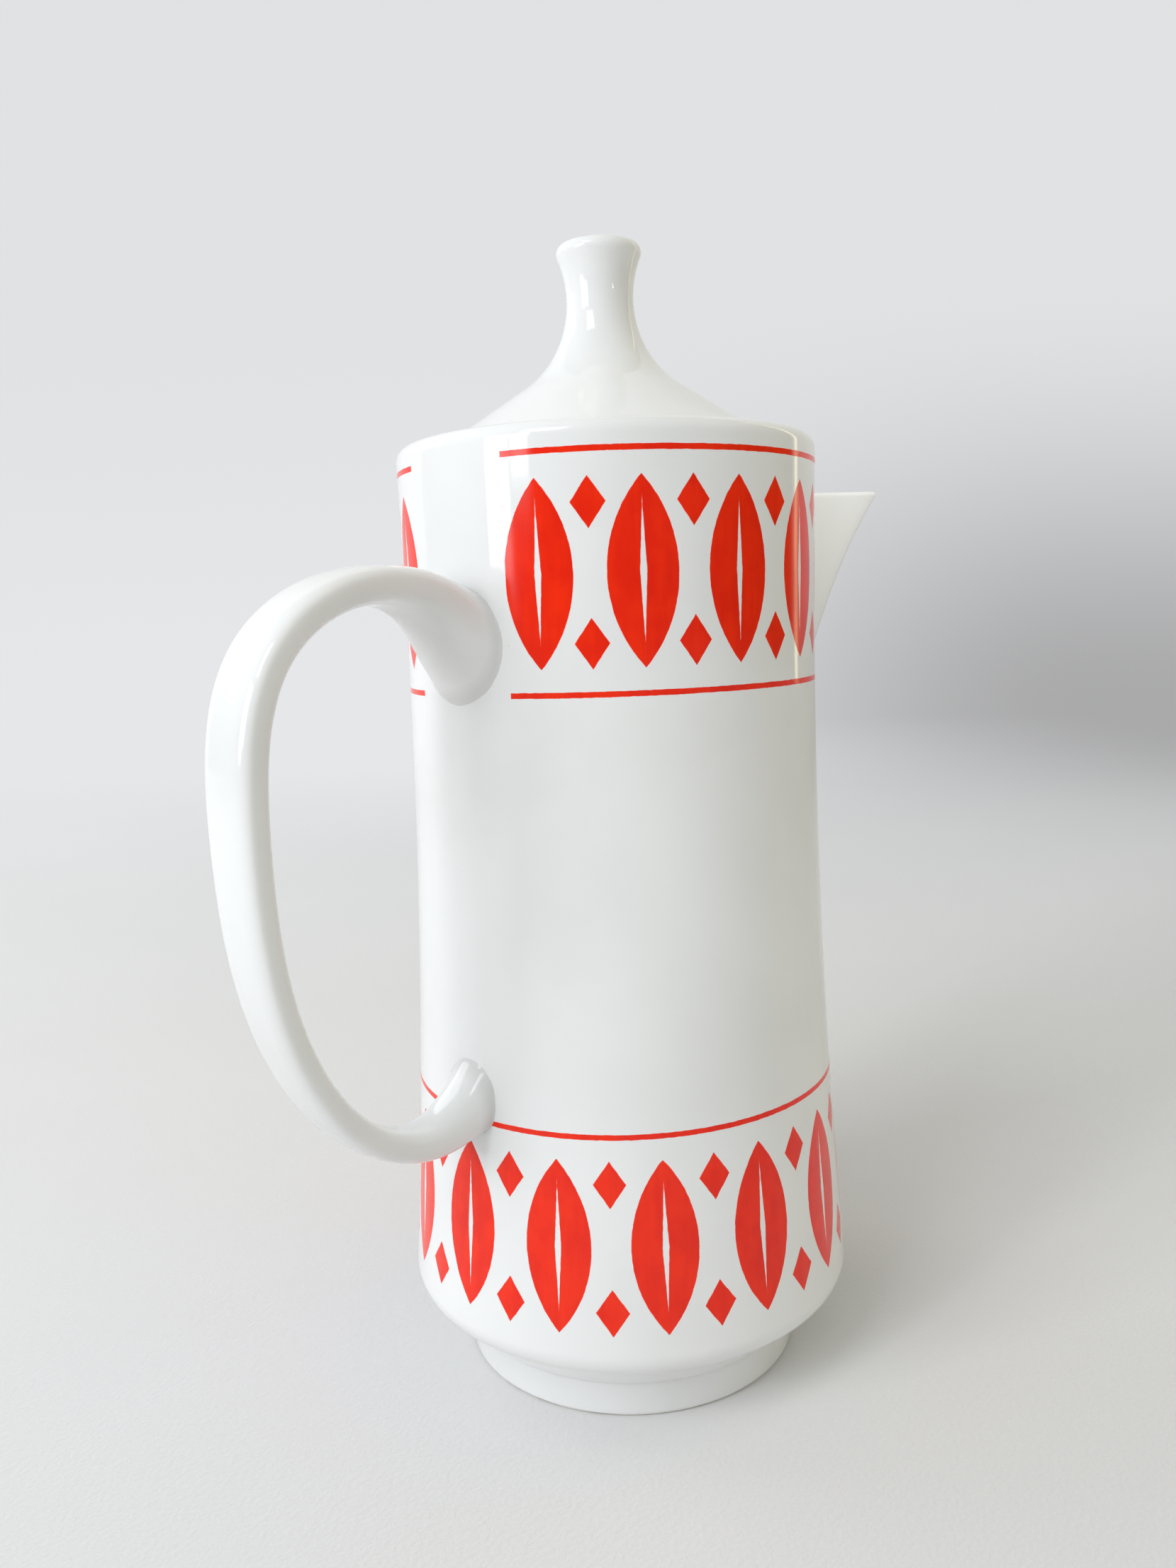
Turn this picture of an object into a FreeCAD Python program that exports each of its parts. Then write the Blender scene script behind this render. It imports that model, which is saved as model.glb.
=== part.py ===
import FreeCAD, Part
import math
import os

from FreeCAD import Vector

# Porcelain coffee pot with a lift-off lid, in millimetres.
# The origin is the centre of the foot ring on the table. +Z is up and +X points along the spout.

# Body wall: one long hollow sweep, narrowest at the waist and widest at the base
rim_height = 200.0
waist_height = 155.0
waist_radius = 43.8
base_height = 20.5
base_flare = 5.2
base_round = 5.5
wall = 3.8

# Rim, and the sunken seat inside it that carries the lid
rim_round = 3.0
rim_width = 4.2
rim_inner_round = 1.0
seat_depth = 7.0
seat_width = 4.0
throat_height = 4.0

# Foot ring and floor
foot_inset = 11.9
foot_height = 7.5
foot_width = 5.0
foot_round = 1.3
foot_recess = 4.5
floor_thickness = 4.5

# Lid: a cone that runs into a waisted neck and a domed knob, with a skirt below
lid_clearance = 0.4
lid_edge_height = 3.7
lid_edge_round = 1.0
lid_slope = 33.0
lid_wall = 3.4
neck_radius = 7.05
neck_sweep = 21.7
knob_rise = 12.4
knob_dome = 24.0
knob_round = 2.0
skirt_depth = 14.0
skirt_wall = 3.0

# Spout: an open-topped beak under the rim. The keel's start and end reach are how far that lower edge would
# run out over the whole depth at the slope it has at the wall, and at the tip.
spout_reach = 61.2
spout_depth = 80.0
spout_drop = 5.5
keel_start_reach = 56.0
keel_end_reach = 104.0
spout_tilt = 4.0
spout_wall = 3.6
spout_over = 8.0
spout_slices = 7
lip_round = 0.9
tip_round = 7.5
keel_round = 16.0
tip_spread = 20.0
keel_spread = 1.0
pour_hole_width = 18.0
pour_hole_height = 34.0
pour_hole_drop = 35.0

# Handle: a strap that leaves the wall at a tall root, and comes back to it at a small one.
# The root sizes are those of its two ends, which lie inside the wall.
handle_drop = 38.0
handle_span = 94.5
handle_reach = 49.3
strap_width = 16.9
strap_thickness = 7.2
strap_low_width = 10.6
strap_low_thickness = 5.7
strap_edge = 2.1
upper_root_width = 27.8
upper_root_height = 37.0
upper_root_edge = 20.0
lower_root_width = 17.5
lower_root_height = 23.5
lower_root_edge = 11.5
root_taper_length = 5.5
root_depth = 5.0

# Middle line of the strap, as shares of its reach from the wall and of its span above the lower root
strap_path = [
    (0.12, 1.054),
    (0.41, 1.098),
    (0.86, 0.989),
    (1.0, 0.643),
    (0.85, 0.233),
    (0.43, -0.015),
    (0.2, -0.04),
]
strap_sections = 21
section_points = 24

# Values worked out from the sizes above
base_drop = waist_height - base_height
sweep_radius = (base_drop ** 2 + base_flare ** 2) / (2 * base_flare)
sweep_centre = Vector(waist_radius + sweep_radius, 0, waist_height)
over = 1.0


def wall_radius(height, depth=0.0):
    """Radius, at a height, of the surface that lies a depth inside the outer wall."""
    rise = height - waist_height
    return sweep_centre.x - math.sqrt((sweep_radius + depth) ** 2 - rise ** 2)


def toward(start, end, distance):
    """Point at a distance from start, on the way to end."""
    way = end - start
    way.normalize()
    return start + way * distance


def line(start, end):
    return Part.LineSegment(start, end).toShape()


def arc_curve(centre, start, end):
    """Arc of under half a turn about a centre."""
    middle = centre + toward(Vector(), (start - centre) + (end - centre), (start - centre).Length)
    return Part.Arc(start, middle, end)


def arc(centre, start, end):
    return arc_curve(centre, start, end).toShape()


def sweep(start, end):
    """Stretch of the long wall curve, as a spline that revolves into a surface no larger than the wall."""
    return arc_curve(sweep_centre, start, end).toBSpline().toShape()


def chain(points):
    return [line(a, b) for a, b in zip(points, points[1:])]


def revolve(edges):
    face = Part.Face(Part.Wire(edges))
    return face.revolve(Vector(), Vector(0, 0, 1), 360)


def tangent_point(outside, centre, radius):
    """Where a line from an outside point touches a circle on the side away from the axis."""
    way = centre - outside
    turn = math.asin(radius / way.Length)
    heading = math.atan2(way.z, way.x) - turn
    reach = math.sqrt(way.Length ** 2 - radius ** 2)
    return outside + Vector(math.cos(heading), 0, math.sin(heading)) * reach


def circles_meet(centre_a, radius_a, centre_b, radius_b):
    """Upper crossing of two circles."""
    way = centre_b - centre_a
    along = (way.Length ** 2 + radius_a ** 2 - radius_b ** 2) / (2 * way.Length)
    aside = math.sqrt(radius_a ** 2 - along ** 2)
    way.normalize()
    return centre_a + way * along + Vector(way.z, 0, -way.x) * aside


def round_edges(shape, radius, places):
    """Round the circular edges that pass through the given places in the XZ plane."""
    near = 0.01
    picked = []
    for place in places:
        vertex = Part.Vertex(place)
        picked += [edge for edge in shape.Edges if edge.distToShape(vertex)[0] < near and edge.Closed]
    return shape.makeFillet(radius, picked)


# Shared places on the body's section
foot_radius = waist_radius + base_flare - foot_inset
foot_top = Vector(foot_radius, 0, foot_height)
base_centre = Vector(wall_radius(base_height, base_round), 0, base_height)
base_start = tangent_point(foot_top, base_centre, base_round)
base_end = toward(base_centre, sweep_centre, base_round)
rim_centre = Vector(wall_radius(rim_height - rim_round, rim_round), 0, rim_height - rim_round)
rim_start = toward(rim_centre, sweep_centre, rim_round)
rim_top = Vector(rim_centre.x, 0, rim_height)
seat_height = rim_height - seat_depth
seat_radius = rim_start.x - rim_width
throat_radius = seat_radius - seat_width
spout_top = rim_height - spout_drop


def envelope():
    """The body's outer form as one solid, which also trims what is luted to it."""
    bottom = Vector(foot_radius - foot_round, 0, 0)
    foot_side = Vector(foot_radius, 0, foot_round)
    edges = [line(Vector(), bottom)]
    edges.append(arc(Vector(bottom.x, 0, foot_round), bottom, foot_side))
    edges += chain([foot_side, foot_top, base_start])
    edges.append(arc(base_centre, base_start, base_end))
    edges.append(sweep(base_end, rim_start))
    edges.append(arc(rim_centre, rim_start, rim_top))
    edges += chain([rim_top, Vector(0, 0, rim_height), Vector()])
    return revolve(edges)


def cavity():
    """The hollow of the body: floor, inner wall, throat, lid seat and the inside of the rim."""
    floor_height = foot_recess + floor_thickness
    inner_start = toward(base_start, base_centre, wall)
    inner_end = toward(base_end, base_centre, wall)
    slope = (base_start - foot_top).z / (base_start - foot_top).x
    floor_edge = Vector(inner_start.x - (inner_start.z - floor_height) / slope, 0, floor_height)
    throat_low = seat_height - throat_height
    inner_top = throat_low - wall_radius(throat_low, wall) + throat_radius
    inner_rim = Vector(wall_radius(inner_top, wall), 0, inner_top)
    seat_wall_top = Vector(seat_radius, 0, rim_height - rim_inner_round)
    rim_inner = Vector(seat_radius + rim_inner_round, 0, rim_height)
    edges = chain([Vector(0, 0, floor_height), floor_edge, inner_start])
    edges.append(arc(base_centre, inner_start, inner_end))
    edges.append(sweep(inner_end, inner_rim))
    edges += chain([inner_rim, Vector(throat_radius, 0, throat_low), Vector(throat_radius, 0, seat_height),
                    Vector(seat_radius, 0, seat_height), seat_wall_top])
    edges.append(arc(Vector(rim_inner.x, 0, seat_wall_top.z), seat_wall_top, rim_inner))
    edges += chain([rim_inner, Vector(rim_inner.x, 0, rim_height + over), Vector(0, 0, rim_height + over),
                    Vector(0, 0, floor_height)])
    return revolve(edges)


def foot_hollow():
    """The recess inside the foot ring."""
    inner = foot_radius - foot_width
    ring_edge = Vector(inner + foot_round, 0, 0)
    ring_side = Vector(inner, 0, foot_round)
    edges = [line(Vector(), ring_edge), arc(Vector(ring_edge.x, 0, foot_round), ring_edge, ring_side)]
    edges += chain([ring_side, Vector(inner, 0, foot_recess), Vector(0, 0, foot_recess), Vector()])
    return revolve(edges)


def pour_hole():
    """A slot with round ends, through the wall behind the spout."""
    half = pour_hole_width / 2
    middle = rim_height - pour_hole_drop
    straight = pour_hole_height / 2 - half
    start = throat_radius / 2
    length = wall_radius(middle) + over - start
    slot = Part.makeBox(length, pour_hole_width, 2 * straight, Vector(start, -half, middle - straight))
    for end in (-straight, straight):
        slot = slot.fuse(Part.makeCylinder(half, length, Vector(start, 0, middle + end), Vector(1, 0, 0)))
    return slot.removeSplitter()


def pot_body():
    return envelope().cut(cavity()).cut(foot_hollow()).cut(pour_hole())


def keel(share):
    """The beak's lower edge: distance from the axis and height, from the wall at 0 to the tip at 1."""
    low = spout_top - spout_depth
    rest = 1 - share
    reach = wall_radius(low) + share ** 2 * (1 + 2 * rest) * spout_reach
    reach += share * rest * (rest * keel_start_reach - share * keel_end_reach)
    return reach, low + share * spout_depth


def spout_slice(share, inset):
    """Level slice of the beak: two flanks that run from inside the body to a rounded keel."""
    reach, height = keel(share)
    radius = keel_round + (tip_round - keel_round) * share
    spread = keel_spread + (tip_spread - keel_spread) * share
    centre = Vector(reach - radius, 0, height)
    anchor = Vector(throat_radius / 2, radius + spread, height)
    way = centre - anchor
    facing = math.atan2(way.y, way.x) + math.asin(radius / way.Length) + math.pi / 2
    normal = Vector(math.cos(facing), math.sin(facing), 0)
    touch = centre + normal * (radius - inset)
    back = anchor - normal * inset
    tip = Vector(reach - inset, 0, height)
    mirror = [Vector(p.x, -p.y, p.z) for p in (touch, back)]
    edges = [line(back, touch), Part.Arc(touch, tip, mirror[0]).toShape()]
    edges += chain([mirror[0], mirror[1], back])
    return Part.Wire(edges)


def beak(inset):
    """Loft of level slices, carried a little past the tip."""
    last = 1 + spout_over / spout_depth
    shares = [last * i / (spout_slices - 1) for i in range(spout_slices)]
    return Part.makeLoft([spout_slice(share, inset) for share in shares], True)


def lip_height(radius):
    """Height of the beak's top edge, which rises slightly towards the tip."""
    tip = keel(1.0)[0]
    return spout_top + (radius - tip) * math.tan(math.radians(spout_tilt))


def above_lip():
    """Everything above the beak's top edge."""
    tip = keel(1.0)[0]
    far = 2 * tip
    low = Vector(0, -tip, lip_height(0))
    end = Vector(far, -tip, lip_height(far))
    wire = Part.Wire(chain([low, end, end + Vector(0, 0, far), low + Vector(0, 0, far), low]))
    return Part.Face(wire).extrude(Vector(0, 2 * tip, 0))


def spout():
    """Open channel with a rounded lip, trimmed to the wall that it is luted to."""
    near = 0.01
    channel = beak(0.0).cut(beak(spout_wall)).cut(above_lip())
    lip = []
    for edge in channel.Edges:
        places = [vertex.Point for vertex in edge.Vertexes]
        level = all(abs(place.z - lip_height(place.x)) < near for place in places)
        along = max(place.x for place in places) > throat_radius
        if level and along:
            lip.append(edge)
    return channel.makeFillet(lip_round, lip).cut(envelope())


def strap_section(middle, across, half_width, half_thickness, edge):
    """Closed section about a point of the strap's middle line, flatter faced the smaller its edge is."""
    power = edge / half_thickness
    points = []
    for i in range(section_points):
        angle = 2 * math.pi * i / section_points
        c = math.cos(angle)
        s = math.sin(angle)
        side = math.copysign(abs(c) ** power, c) * half_width
        depth = math.copysign(abs(s) ** power, s) * half_thickness
        points.append(middle + Vector(0, side, 0) + across * depth)
    oval = Part.BSplineCurve()
    oval.interpolate(Points=points, PeriodicFlag=True)
    return Part.Wire(oval.toShape())


def strap_line():
    """Middle line of the strap, with both ends carried a little inside the wall."""
    upper = rim_height - handle_drop
    lower = upper - handle_span
    places = [(-root_depth, upper - root_depth / 2), (0.0, upper)]
    places += [(out * handle_reach, lower + up * handle_span) for out, up in strap_path]
    places += [(0.0, lower), (-root_depth, lower + root_depth / 2)]
    points = [Vector(-wall_radius(height) - out, 0, height) for out, height in places]
    curve = Part.BSplineCurve()
    curve.interpolate(points)
    return curve


def handle():
    """Loft of sections along the middle line, which swell, round off and stand upright near a root."""
    curve = strap_line()
    sections = []
    for i in range(strap_sections):
        share = (1 - math.cos(math.pi * i / (strap_sections - 1))) / 2
        place = curve.FirstParameter + share * (curve.LastParameter - curve.FirstParameter)
        middle = curve.value(place)
        tangent = curve.tangent(place)[0]
        out = root_depth - middle.x - wall_radius(middle.z)
        near_root = math.exp(-out / root_taper_length)
        upper_half = share < 0.5
        upright = Vector(0, 0, 1 if upper_half else -1)
        across = Vector(tangent.z, 0, -tangent.x) * (1 - near_root) + upright * near_root
        across.normalize()
        width = strap_width + (strap_low_width - strap_width) * share
        thickness = strap_thickness + (strap_low_thickness - strap_thickness) * share
        root_width = upper_root_width if upper_half else lower_root_width
        root_height = upper_root_height if upper_half else lower_root_height
        root_edge = upper_root_edge if upper_half else lower_root_edge
        width += (root_width - width) * near_root
        thickness += (root_height - thickness) * near_root
        edge = strap_edge + (root_edge - strap_edge) * near_root
        sections.append(strap_section(middle, across, width / 2, thickness / 2, edge))
    return Part.makeLoft(sections, True).cut(envelope())


def lid():
    """Cone, neck and knob as one shell of even thickness, with an edge that seats and a skirt below."""
    lean = math.radians(lid_slope)
    edge_radius = seat_radius - lid_clearance
    skirt_radius = throat_radius - lid_clearance
    skirt_inner = skirt_radius - skirt_wall
    skirt_low = seat_height - skirt_depth
    edge_top = Vector(edge_radius, 0, seat_height + lid_edge_height)
    edge_low = Vector(edge_radius, 0, seat_height)
    square = Vector(math.sin(lean), 0, math.cos(lean))

    neck_centre_radius = neck_radius + neck_sweep
    cone_top_radius = neck_centre_radius - neck_sweep * math.sin(lean)
    cone_top = Vector(cone_top_radius, 0, edge_top.z + (edge_radius - cone_top_radius) * math.tan(lean))
    neck_centre = cone_top + square * neck_sweep
    knob_top = Vector(0, 0, neck_centre.z + knob_rise)
    dome_centre = knob_top - Vector(0, 0, knob_dome)
    knob_edge = circles_meet(neck_centre, neck_sweep, dome_centre, knob_dome)

    inner_top = knob_top - Vector(0, 0, lid_wall)
    inner_edge = circles_meet(neck_centre, neck_sweep + lid_wall, dome_centre, knob_dome - lid_wall)
    inner_cone_top = cone_top - square * lid_wall
    inner_drop = (skirt_inner - inner_cone_top.x) * math.tan(lean)
    inner_cone_low = Vector(skirt_inner, 0, inner_cone_top.z - inner_drop)

    edges = [arc(dome_centre, knob_top, knob_edge), arc(neck_centre, knob_edge, cone_top)]
    edges += chain([cone_top, edge_top, edge_low, Vector(skirt_radius, 0, seat_height),
                    Vector(skirt_radius, 0, skirt_low), Vector(skirt_inner, 0, skirt_low),
                    inner_cone_low, inner_cone_top])
    edges.append(arc(neck_centre, inner_cone_top, inner_edge))
    edges.append(arc(dome_centre, inner_edge, inner_top))
    edges.append(line(inner_top, knob_top))
    shell = revolve(edges)
    shell = round_edges(shell, knob_round, [knob_edge])
    return round_edges(shell, lid_edge_round, [edge_top, edge_low])


os.makedirs("parts", exist_ok=True)
for make in (pot_body, spout, handle, lid):
    shape = make()
    shape.exportStep(os.path.join("parts", make.__name__ + ".step"))
    print(make.__name__, len(shape.Solids), "solid", round(shape.Volume), "mm3", shape.isValid())
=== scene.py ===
import math

import bmesh
import bpy
import numpy
from mathutils import Matrix, Vector


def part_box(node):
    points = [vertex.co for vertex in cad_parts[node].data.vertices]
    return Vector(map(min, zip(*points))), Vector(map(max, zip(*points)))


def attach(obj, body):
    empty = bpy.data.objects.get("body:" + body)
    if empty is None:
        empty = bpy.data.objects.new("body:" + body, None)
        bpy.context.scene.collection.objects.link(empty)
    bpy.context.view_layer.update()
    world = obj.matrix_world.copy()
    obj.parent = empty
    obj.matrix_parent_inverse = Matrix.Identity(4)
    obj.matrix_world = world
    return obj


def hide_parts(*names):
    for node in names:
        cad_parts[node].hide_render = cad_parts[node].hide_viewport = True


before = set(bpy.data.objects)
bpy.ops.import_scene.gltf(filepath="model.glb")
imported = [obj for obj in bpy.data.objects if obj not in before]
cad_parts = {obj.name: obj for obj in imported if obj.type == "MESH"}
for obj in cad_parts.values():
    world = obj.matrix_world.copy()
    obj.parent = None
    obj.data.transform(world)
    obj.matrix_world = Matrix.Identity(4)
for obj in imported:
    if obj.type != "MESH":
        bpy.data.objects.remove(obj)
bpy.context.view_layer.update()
BODY_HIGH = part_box("pot_body")[1]

# Points of a mesh that are nearer to each other than this, in metres, are one
SAME_PLACE = 1e-6
# Edges that turn more than this stay sharp
SHARP_ANGLE = math.radians(40)

bl_info = {
    "name": "Porcelain Coffee Pot",
    "version": (1, 0, 0),
    "blender": (4, 5, 0),
    "location": "3D View > Sidebar > Coffee Pot",
    "description": "Tall waisted coffee pot with a beak spout, a strap handle and a lift-off lid",
    "category": "Object",
}


def length(name, description, default):
    """A size in metres."""
    return bpy.props.FloatProperty(
        name=name, description=description, default=default, unit="LENGTH", precision=4)


def angle(name, description, degrees):
    return bpy.props.FloatProperty(
        name=name, description=description, default=math.radians(degrees), subtype="ANGLE")


def share(name, description, default):
    return bpy.props.FloatProperty(
        name=name, description=description, default=default, min=0.0, max=1.0, subtype="FACTOR")


def count(name, description, default):
    return bpy.props.IntProperty(name=name, description=description, default=default, min=1)


def amount(name, description, default):
    return bpy.props.FloatProperty(name=name, description=description, default=default)


def colour(name, description, default):
    return bpy.props.FloatVectorProperty(
        name=name, description=description, default=default, min=0.0, max=1.0, size=4, subtype="COLOR")


class BodySizes(bpy.types.PropertyGroup):
    """Sizes of the cast body, its rim, lid seat and foot ring."""

    rim_height: length("Rim height", "Height of the rim above the table", BODY_HIGH.z)
    waist_height: length("Waist height", "Height of the narrowest place", 0.155)
    waist_radius: length("Waist radius", "Radius at the narrowest place", 0.0438)
    base_height: length("Base height", "Height where the wall turns under", 0.0205)
    base_flare: length("Base flare", "How much wider the base is than the waist", 0.0052)
    base_round: length("Base round", "Radius of the turn under the wall", 0.0055)
    wall: length("Wall", "Thickness of the wall", 0.0038)
    rim_round: length("Rim round", "Outer round of the rim", 0.003)
    rim_width: length("Rim width", "Width of the rim", 0.0042)
    rim_inner_round: length("Rim inner round", "Inner round of the rim", 0.001)
    seat_depth: length("Seat depth", "Depth of the lid seat below the rim", 0.007)
    seat_width: length("Seat width", "Width of the ledge that carries the lid", 0.004)
    throat_height: length("Throat height", "Height of the throat below the ledge", 0.004)
    foot_inset: length("Foot inset", "How far the foot ring stands in from the base", 0.0119)
    foot_height: length("Foot height", "Height of the foot ring", 0.0075)
    foot_width: length("Foot width", "Width of the foot ring", 0.005)
    foot_round: length("Foot round", "Round of the foot ring's edges", 0.0013)
    foot_recess: length("Foot recess", "Depth of the hollow inside the foot ring", 0.0045)
    floor_thickness: length("Floor", "Thickness of the floor", 0.0045)
    edge_soften: length("Glaze soften", "Round that the glaze leaves on an edge or in a crease", 0.0007)
    hole_width: length("Pouring hole width", "Width of the hole behind the spout", 0.018)
    hole_height: length("Pouring hole height", "Height of the hole behind the spout", 0.034)
    hole_drop: length("Pouring hole drop", "How far its middle is below the rim", 0.035)
    turns: count("Turned steps", "Faces round the body", 160)


class LidSizes(bpy.types.PropertyGroup):
    """Sizes of the lid, its neck, knob and skirt."""

    clearance: length("Clearance", "Gap between the lid and its seat", 0.0004)
    edge_height: length("Edge height", "Height of the upright edge", 0.0037)
    edge_round: length("Edge round", "Round of that edge", 0.001)
    slope: angle("Slope", "Slope of the cone", 33.0)
    wall: length("Wall", "Thickness of the shell", 0.0034)
    neck_radius: length("Neck radius", "Radius at the narrowest place of the neck", 0.00705)
    neck_sweep: length("Neck sweep", "Radius of the hollow curve of the neck", 0.0217)
    knob_rise: length("Knob rise", "Height of the knob above the neck's narrowest place", 0.0124)
    knob_dome: length("Knob dome", "Radius of the crown of the knob", 0.024)
    knob_round: length("Knob round", "Round of the knob's edge", 0.002)
    skirt_depth: length("Skirt depth", "Depth of the skirt below the ledge", 0.014)
    skirt_wall: length("Skirt wall", "Thickness of the skirt", 0.003)
    skirt_round: length("Skirt round", "Round of the skirt's lower edge", 0.0012)
    turns: count("Turned steps", "Faces round the lid", 128)


class SpoutSizes(bpy.types.PropertyGroup):
    """Sizes of the open beak."""

    reach: length("Reach", "How far the tip stands out from the wall at the keel's foot", 0.0612)
    depth: length("Depth", "Height of the beak from its foot to its tip", 0.08)
    drop: length("Drop", "How far the tip is below the rim", 0.0055)
    start_reach: length("Start reach", "How far the keel would run out at its slope at the foot", 0.056)
    end_reach: length("End reach", "How far the keel would run out at its slope at the tip", 0.104)
    tilt: angle("Tilt", "Slope of the lip", 4.0)
    wall: length("Wall", "Thickness of the beak", 0.0036)
    tip_round: length("Tip round", "Radius of the keel at the tip", 0.0075)
    keel_round: length("Keel round", "Radius of the keel at its foot", 0.016)
    tip_spread: length("Tip spread", "How far the flanks spread back from the tip", 0.02)
    keel_spread: length("Keel spread", "How far the flanks spread back from the foot", 0.001)
    lip_round: length("Lip round", "Round of the lip's edges", 0.0009)
    fillet: length("Fillet", "Round of slip and glaze where it meets the wall", 0.0006)
    bury: length("Bury", "How far the root runs into the wall", 0.0009)
    seam: length("Seam", "Points this near are merged where the two flanks meet", 0.0001)
    levels: count("Levels", "Level rows of points", 15)
    columns: count("Columns", "Points along half of a row", 11)


class HandleSizes(bpy.types.PropertyGroup):
    """Sizes of the strap and of its two roots."""

    drop: length("Drop", "How far the upper root is below the rim", 0.038)
    span: length("Span", "Distance between the two roots", 0.0945)
    reach: length("Reach", "How far the strap stands out from the wall", 0.0493)
    width: length("Width", "Width of the strap above", 0.0169)
    thickness: length("Thickness", "Thickness of the strap above", 0.0072)
    low_width: length("Low width", "Width of the strap below", 0.0106)
    low_thickness: length("Low thickness", "Thickness of the strap below", 0.0057)
    edge: length("Edge", "Rounding of the strap's edges", 0.0021)
    upper_root_width: length("Upper root width", "Width of the strap's upper end, inside the wall", 0.0278)
    upper_root_height: length("Upper root height", "Height of that end", 0.037)
    upper_root_edge: length("Upper root edge", "Rounding of that end", 0.02)
    lower_root_width: length("Lower root width", "Width of the strap's lower end, inside the wall", 0.0175)
    lower_root_height: length("Lower root height", "Height of that end", 0.0235)
    lower_root_edge: length("Lower root edge", "Rounding of that end", 0.0115)
    root_taper: length("Root taper", "Distance over which an end tapers into the strap", 0.0055)
    root_depth: length("Root depth", "How far the strap's line runs into the wall", 0.005)
    fillet: length("Fillet", "Round of slip and glaze where it meets the wall", 0.0002)
    bury: length("Bury", "How far the roots run into the wall", 0.0016)
    stations: count("Stations", "Sections along the strap", 44)
    points: count("Points", "Points round a section", 32)


class FriezeSizes(bpy.types.PropertyGroup):
    """Sizes of the two painted friezes of leaves and diamonds."""

    upper_height: length("Upper frieze", "Height of its middle", 0.172)
    lower_height: length("Lower frieze", "Height of its middle", 0.0425)
    leaves: count("Leaves", "Places for a leaf round the wall", 14)
    leaf_length: length("Leaf length", "Length of a leaf", 0.035)
    leaf_width: length("Leaf width", "Width of a leaf", 0.0135)
    rib_length: length("Rib length", "Length of the bare rib in a leaf", 0.025)
    rib_width: length("Rib width", "Width of the bare rib in a leaf", 0.0013)
    diamond_length: length("Diamond length", "Height of a diamond", 0.0095)
    diamond_width: length("Diamond width", "Width of a diamond", 0.0066)
    diamond_offset: length("Diamond offset", "Diamonds above and below the middle", 0.0128)
    line_offset: length("Line offset", "Lines above and below the middle", 0.0222)
    line_width: length("Line width", "Width of a line", 0.0011)
    spout_gap: angle("Spout gap", "Half of the bare stretch at the spout", 34.4)
    handle_gap: angle("Handle gap", "Half of the bare stretch at the handle", 17.1)


class Finish(bpy.types.PropertyGroup):
    """Colours, gloss and relief of the glaze, the fired-on paint and the bare clay."""

    glaze: colour("Glaze", "White glaze", (0.84, 0.842, 0.836, 1.0))
    # Thick glaze in faint clouds, and painted shade along the joins of the spout and handle with the wall
    pooled: colour("Pooled glaze", "Glaze where it lies thick", (0.70, 0.695, 0.68, 1.0))
    speck: colour("Speck", "Iron specks in the glaze", (0.10, 0.07, 0.045, 1.0))
    paint: colour("Paint", "Fired-on orange red", (0.92, 0.024, 0.001, 1.0))
    paint_deep: colour("Deep paint", "The same paint where it lies thick", (0.82, 0.015, 0.0005, 1.0))
    clay: colour("Bare clay", "Unglazed clay of the foot and the lid seat", (0.70, 0.66, 0.59, 1.0))
    gloss: share("Glaze roughness", "Roughness of the glaze", 0.06)
    paint_gloss: share("Paint roughness", "Roughness of the fired-on paint", 0.13)
    clay_gloss: share("Clay roughness", "Roughness of the bare clay", 0.8)
    index: amount("Glaze index", "How strongly the glaze bends light", 1.42)
    # How far the painted shade and the thick glaze reach from a join
    pool_reach: length("Pool reach", "How far from a join the glaze lies thick", 0.0032)
    relief: length("Relief", "Height of the waves in the glaze and of the clay's grain", 0.00006)
    paint_relief: amount("Paint relief", "Thickness of the paint, against that relief", 0.18)
    body_specks: share("Body specks", "Share of the places for a speck that have one, on the body", 0.004)
    lid_specks: share("Lid specks", "The same on the lid", 0.07)


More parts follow.
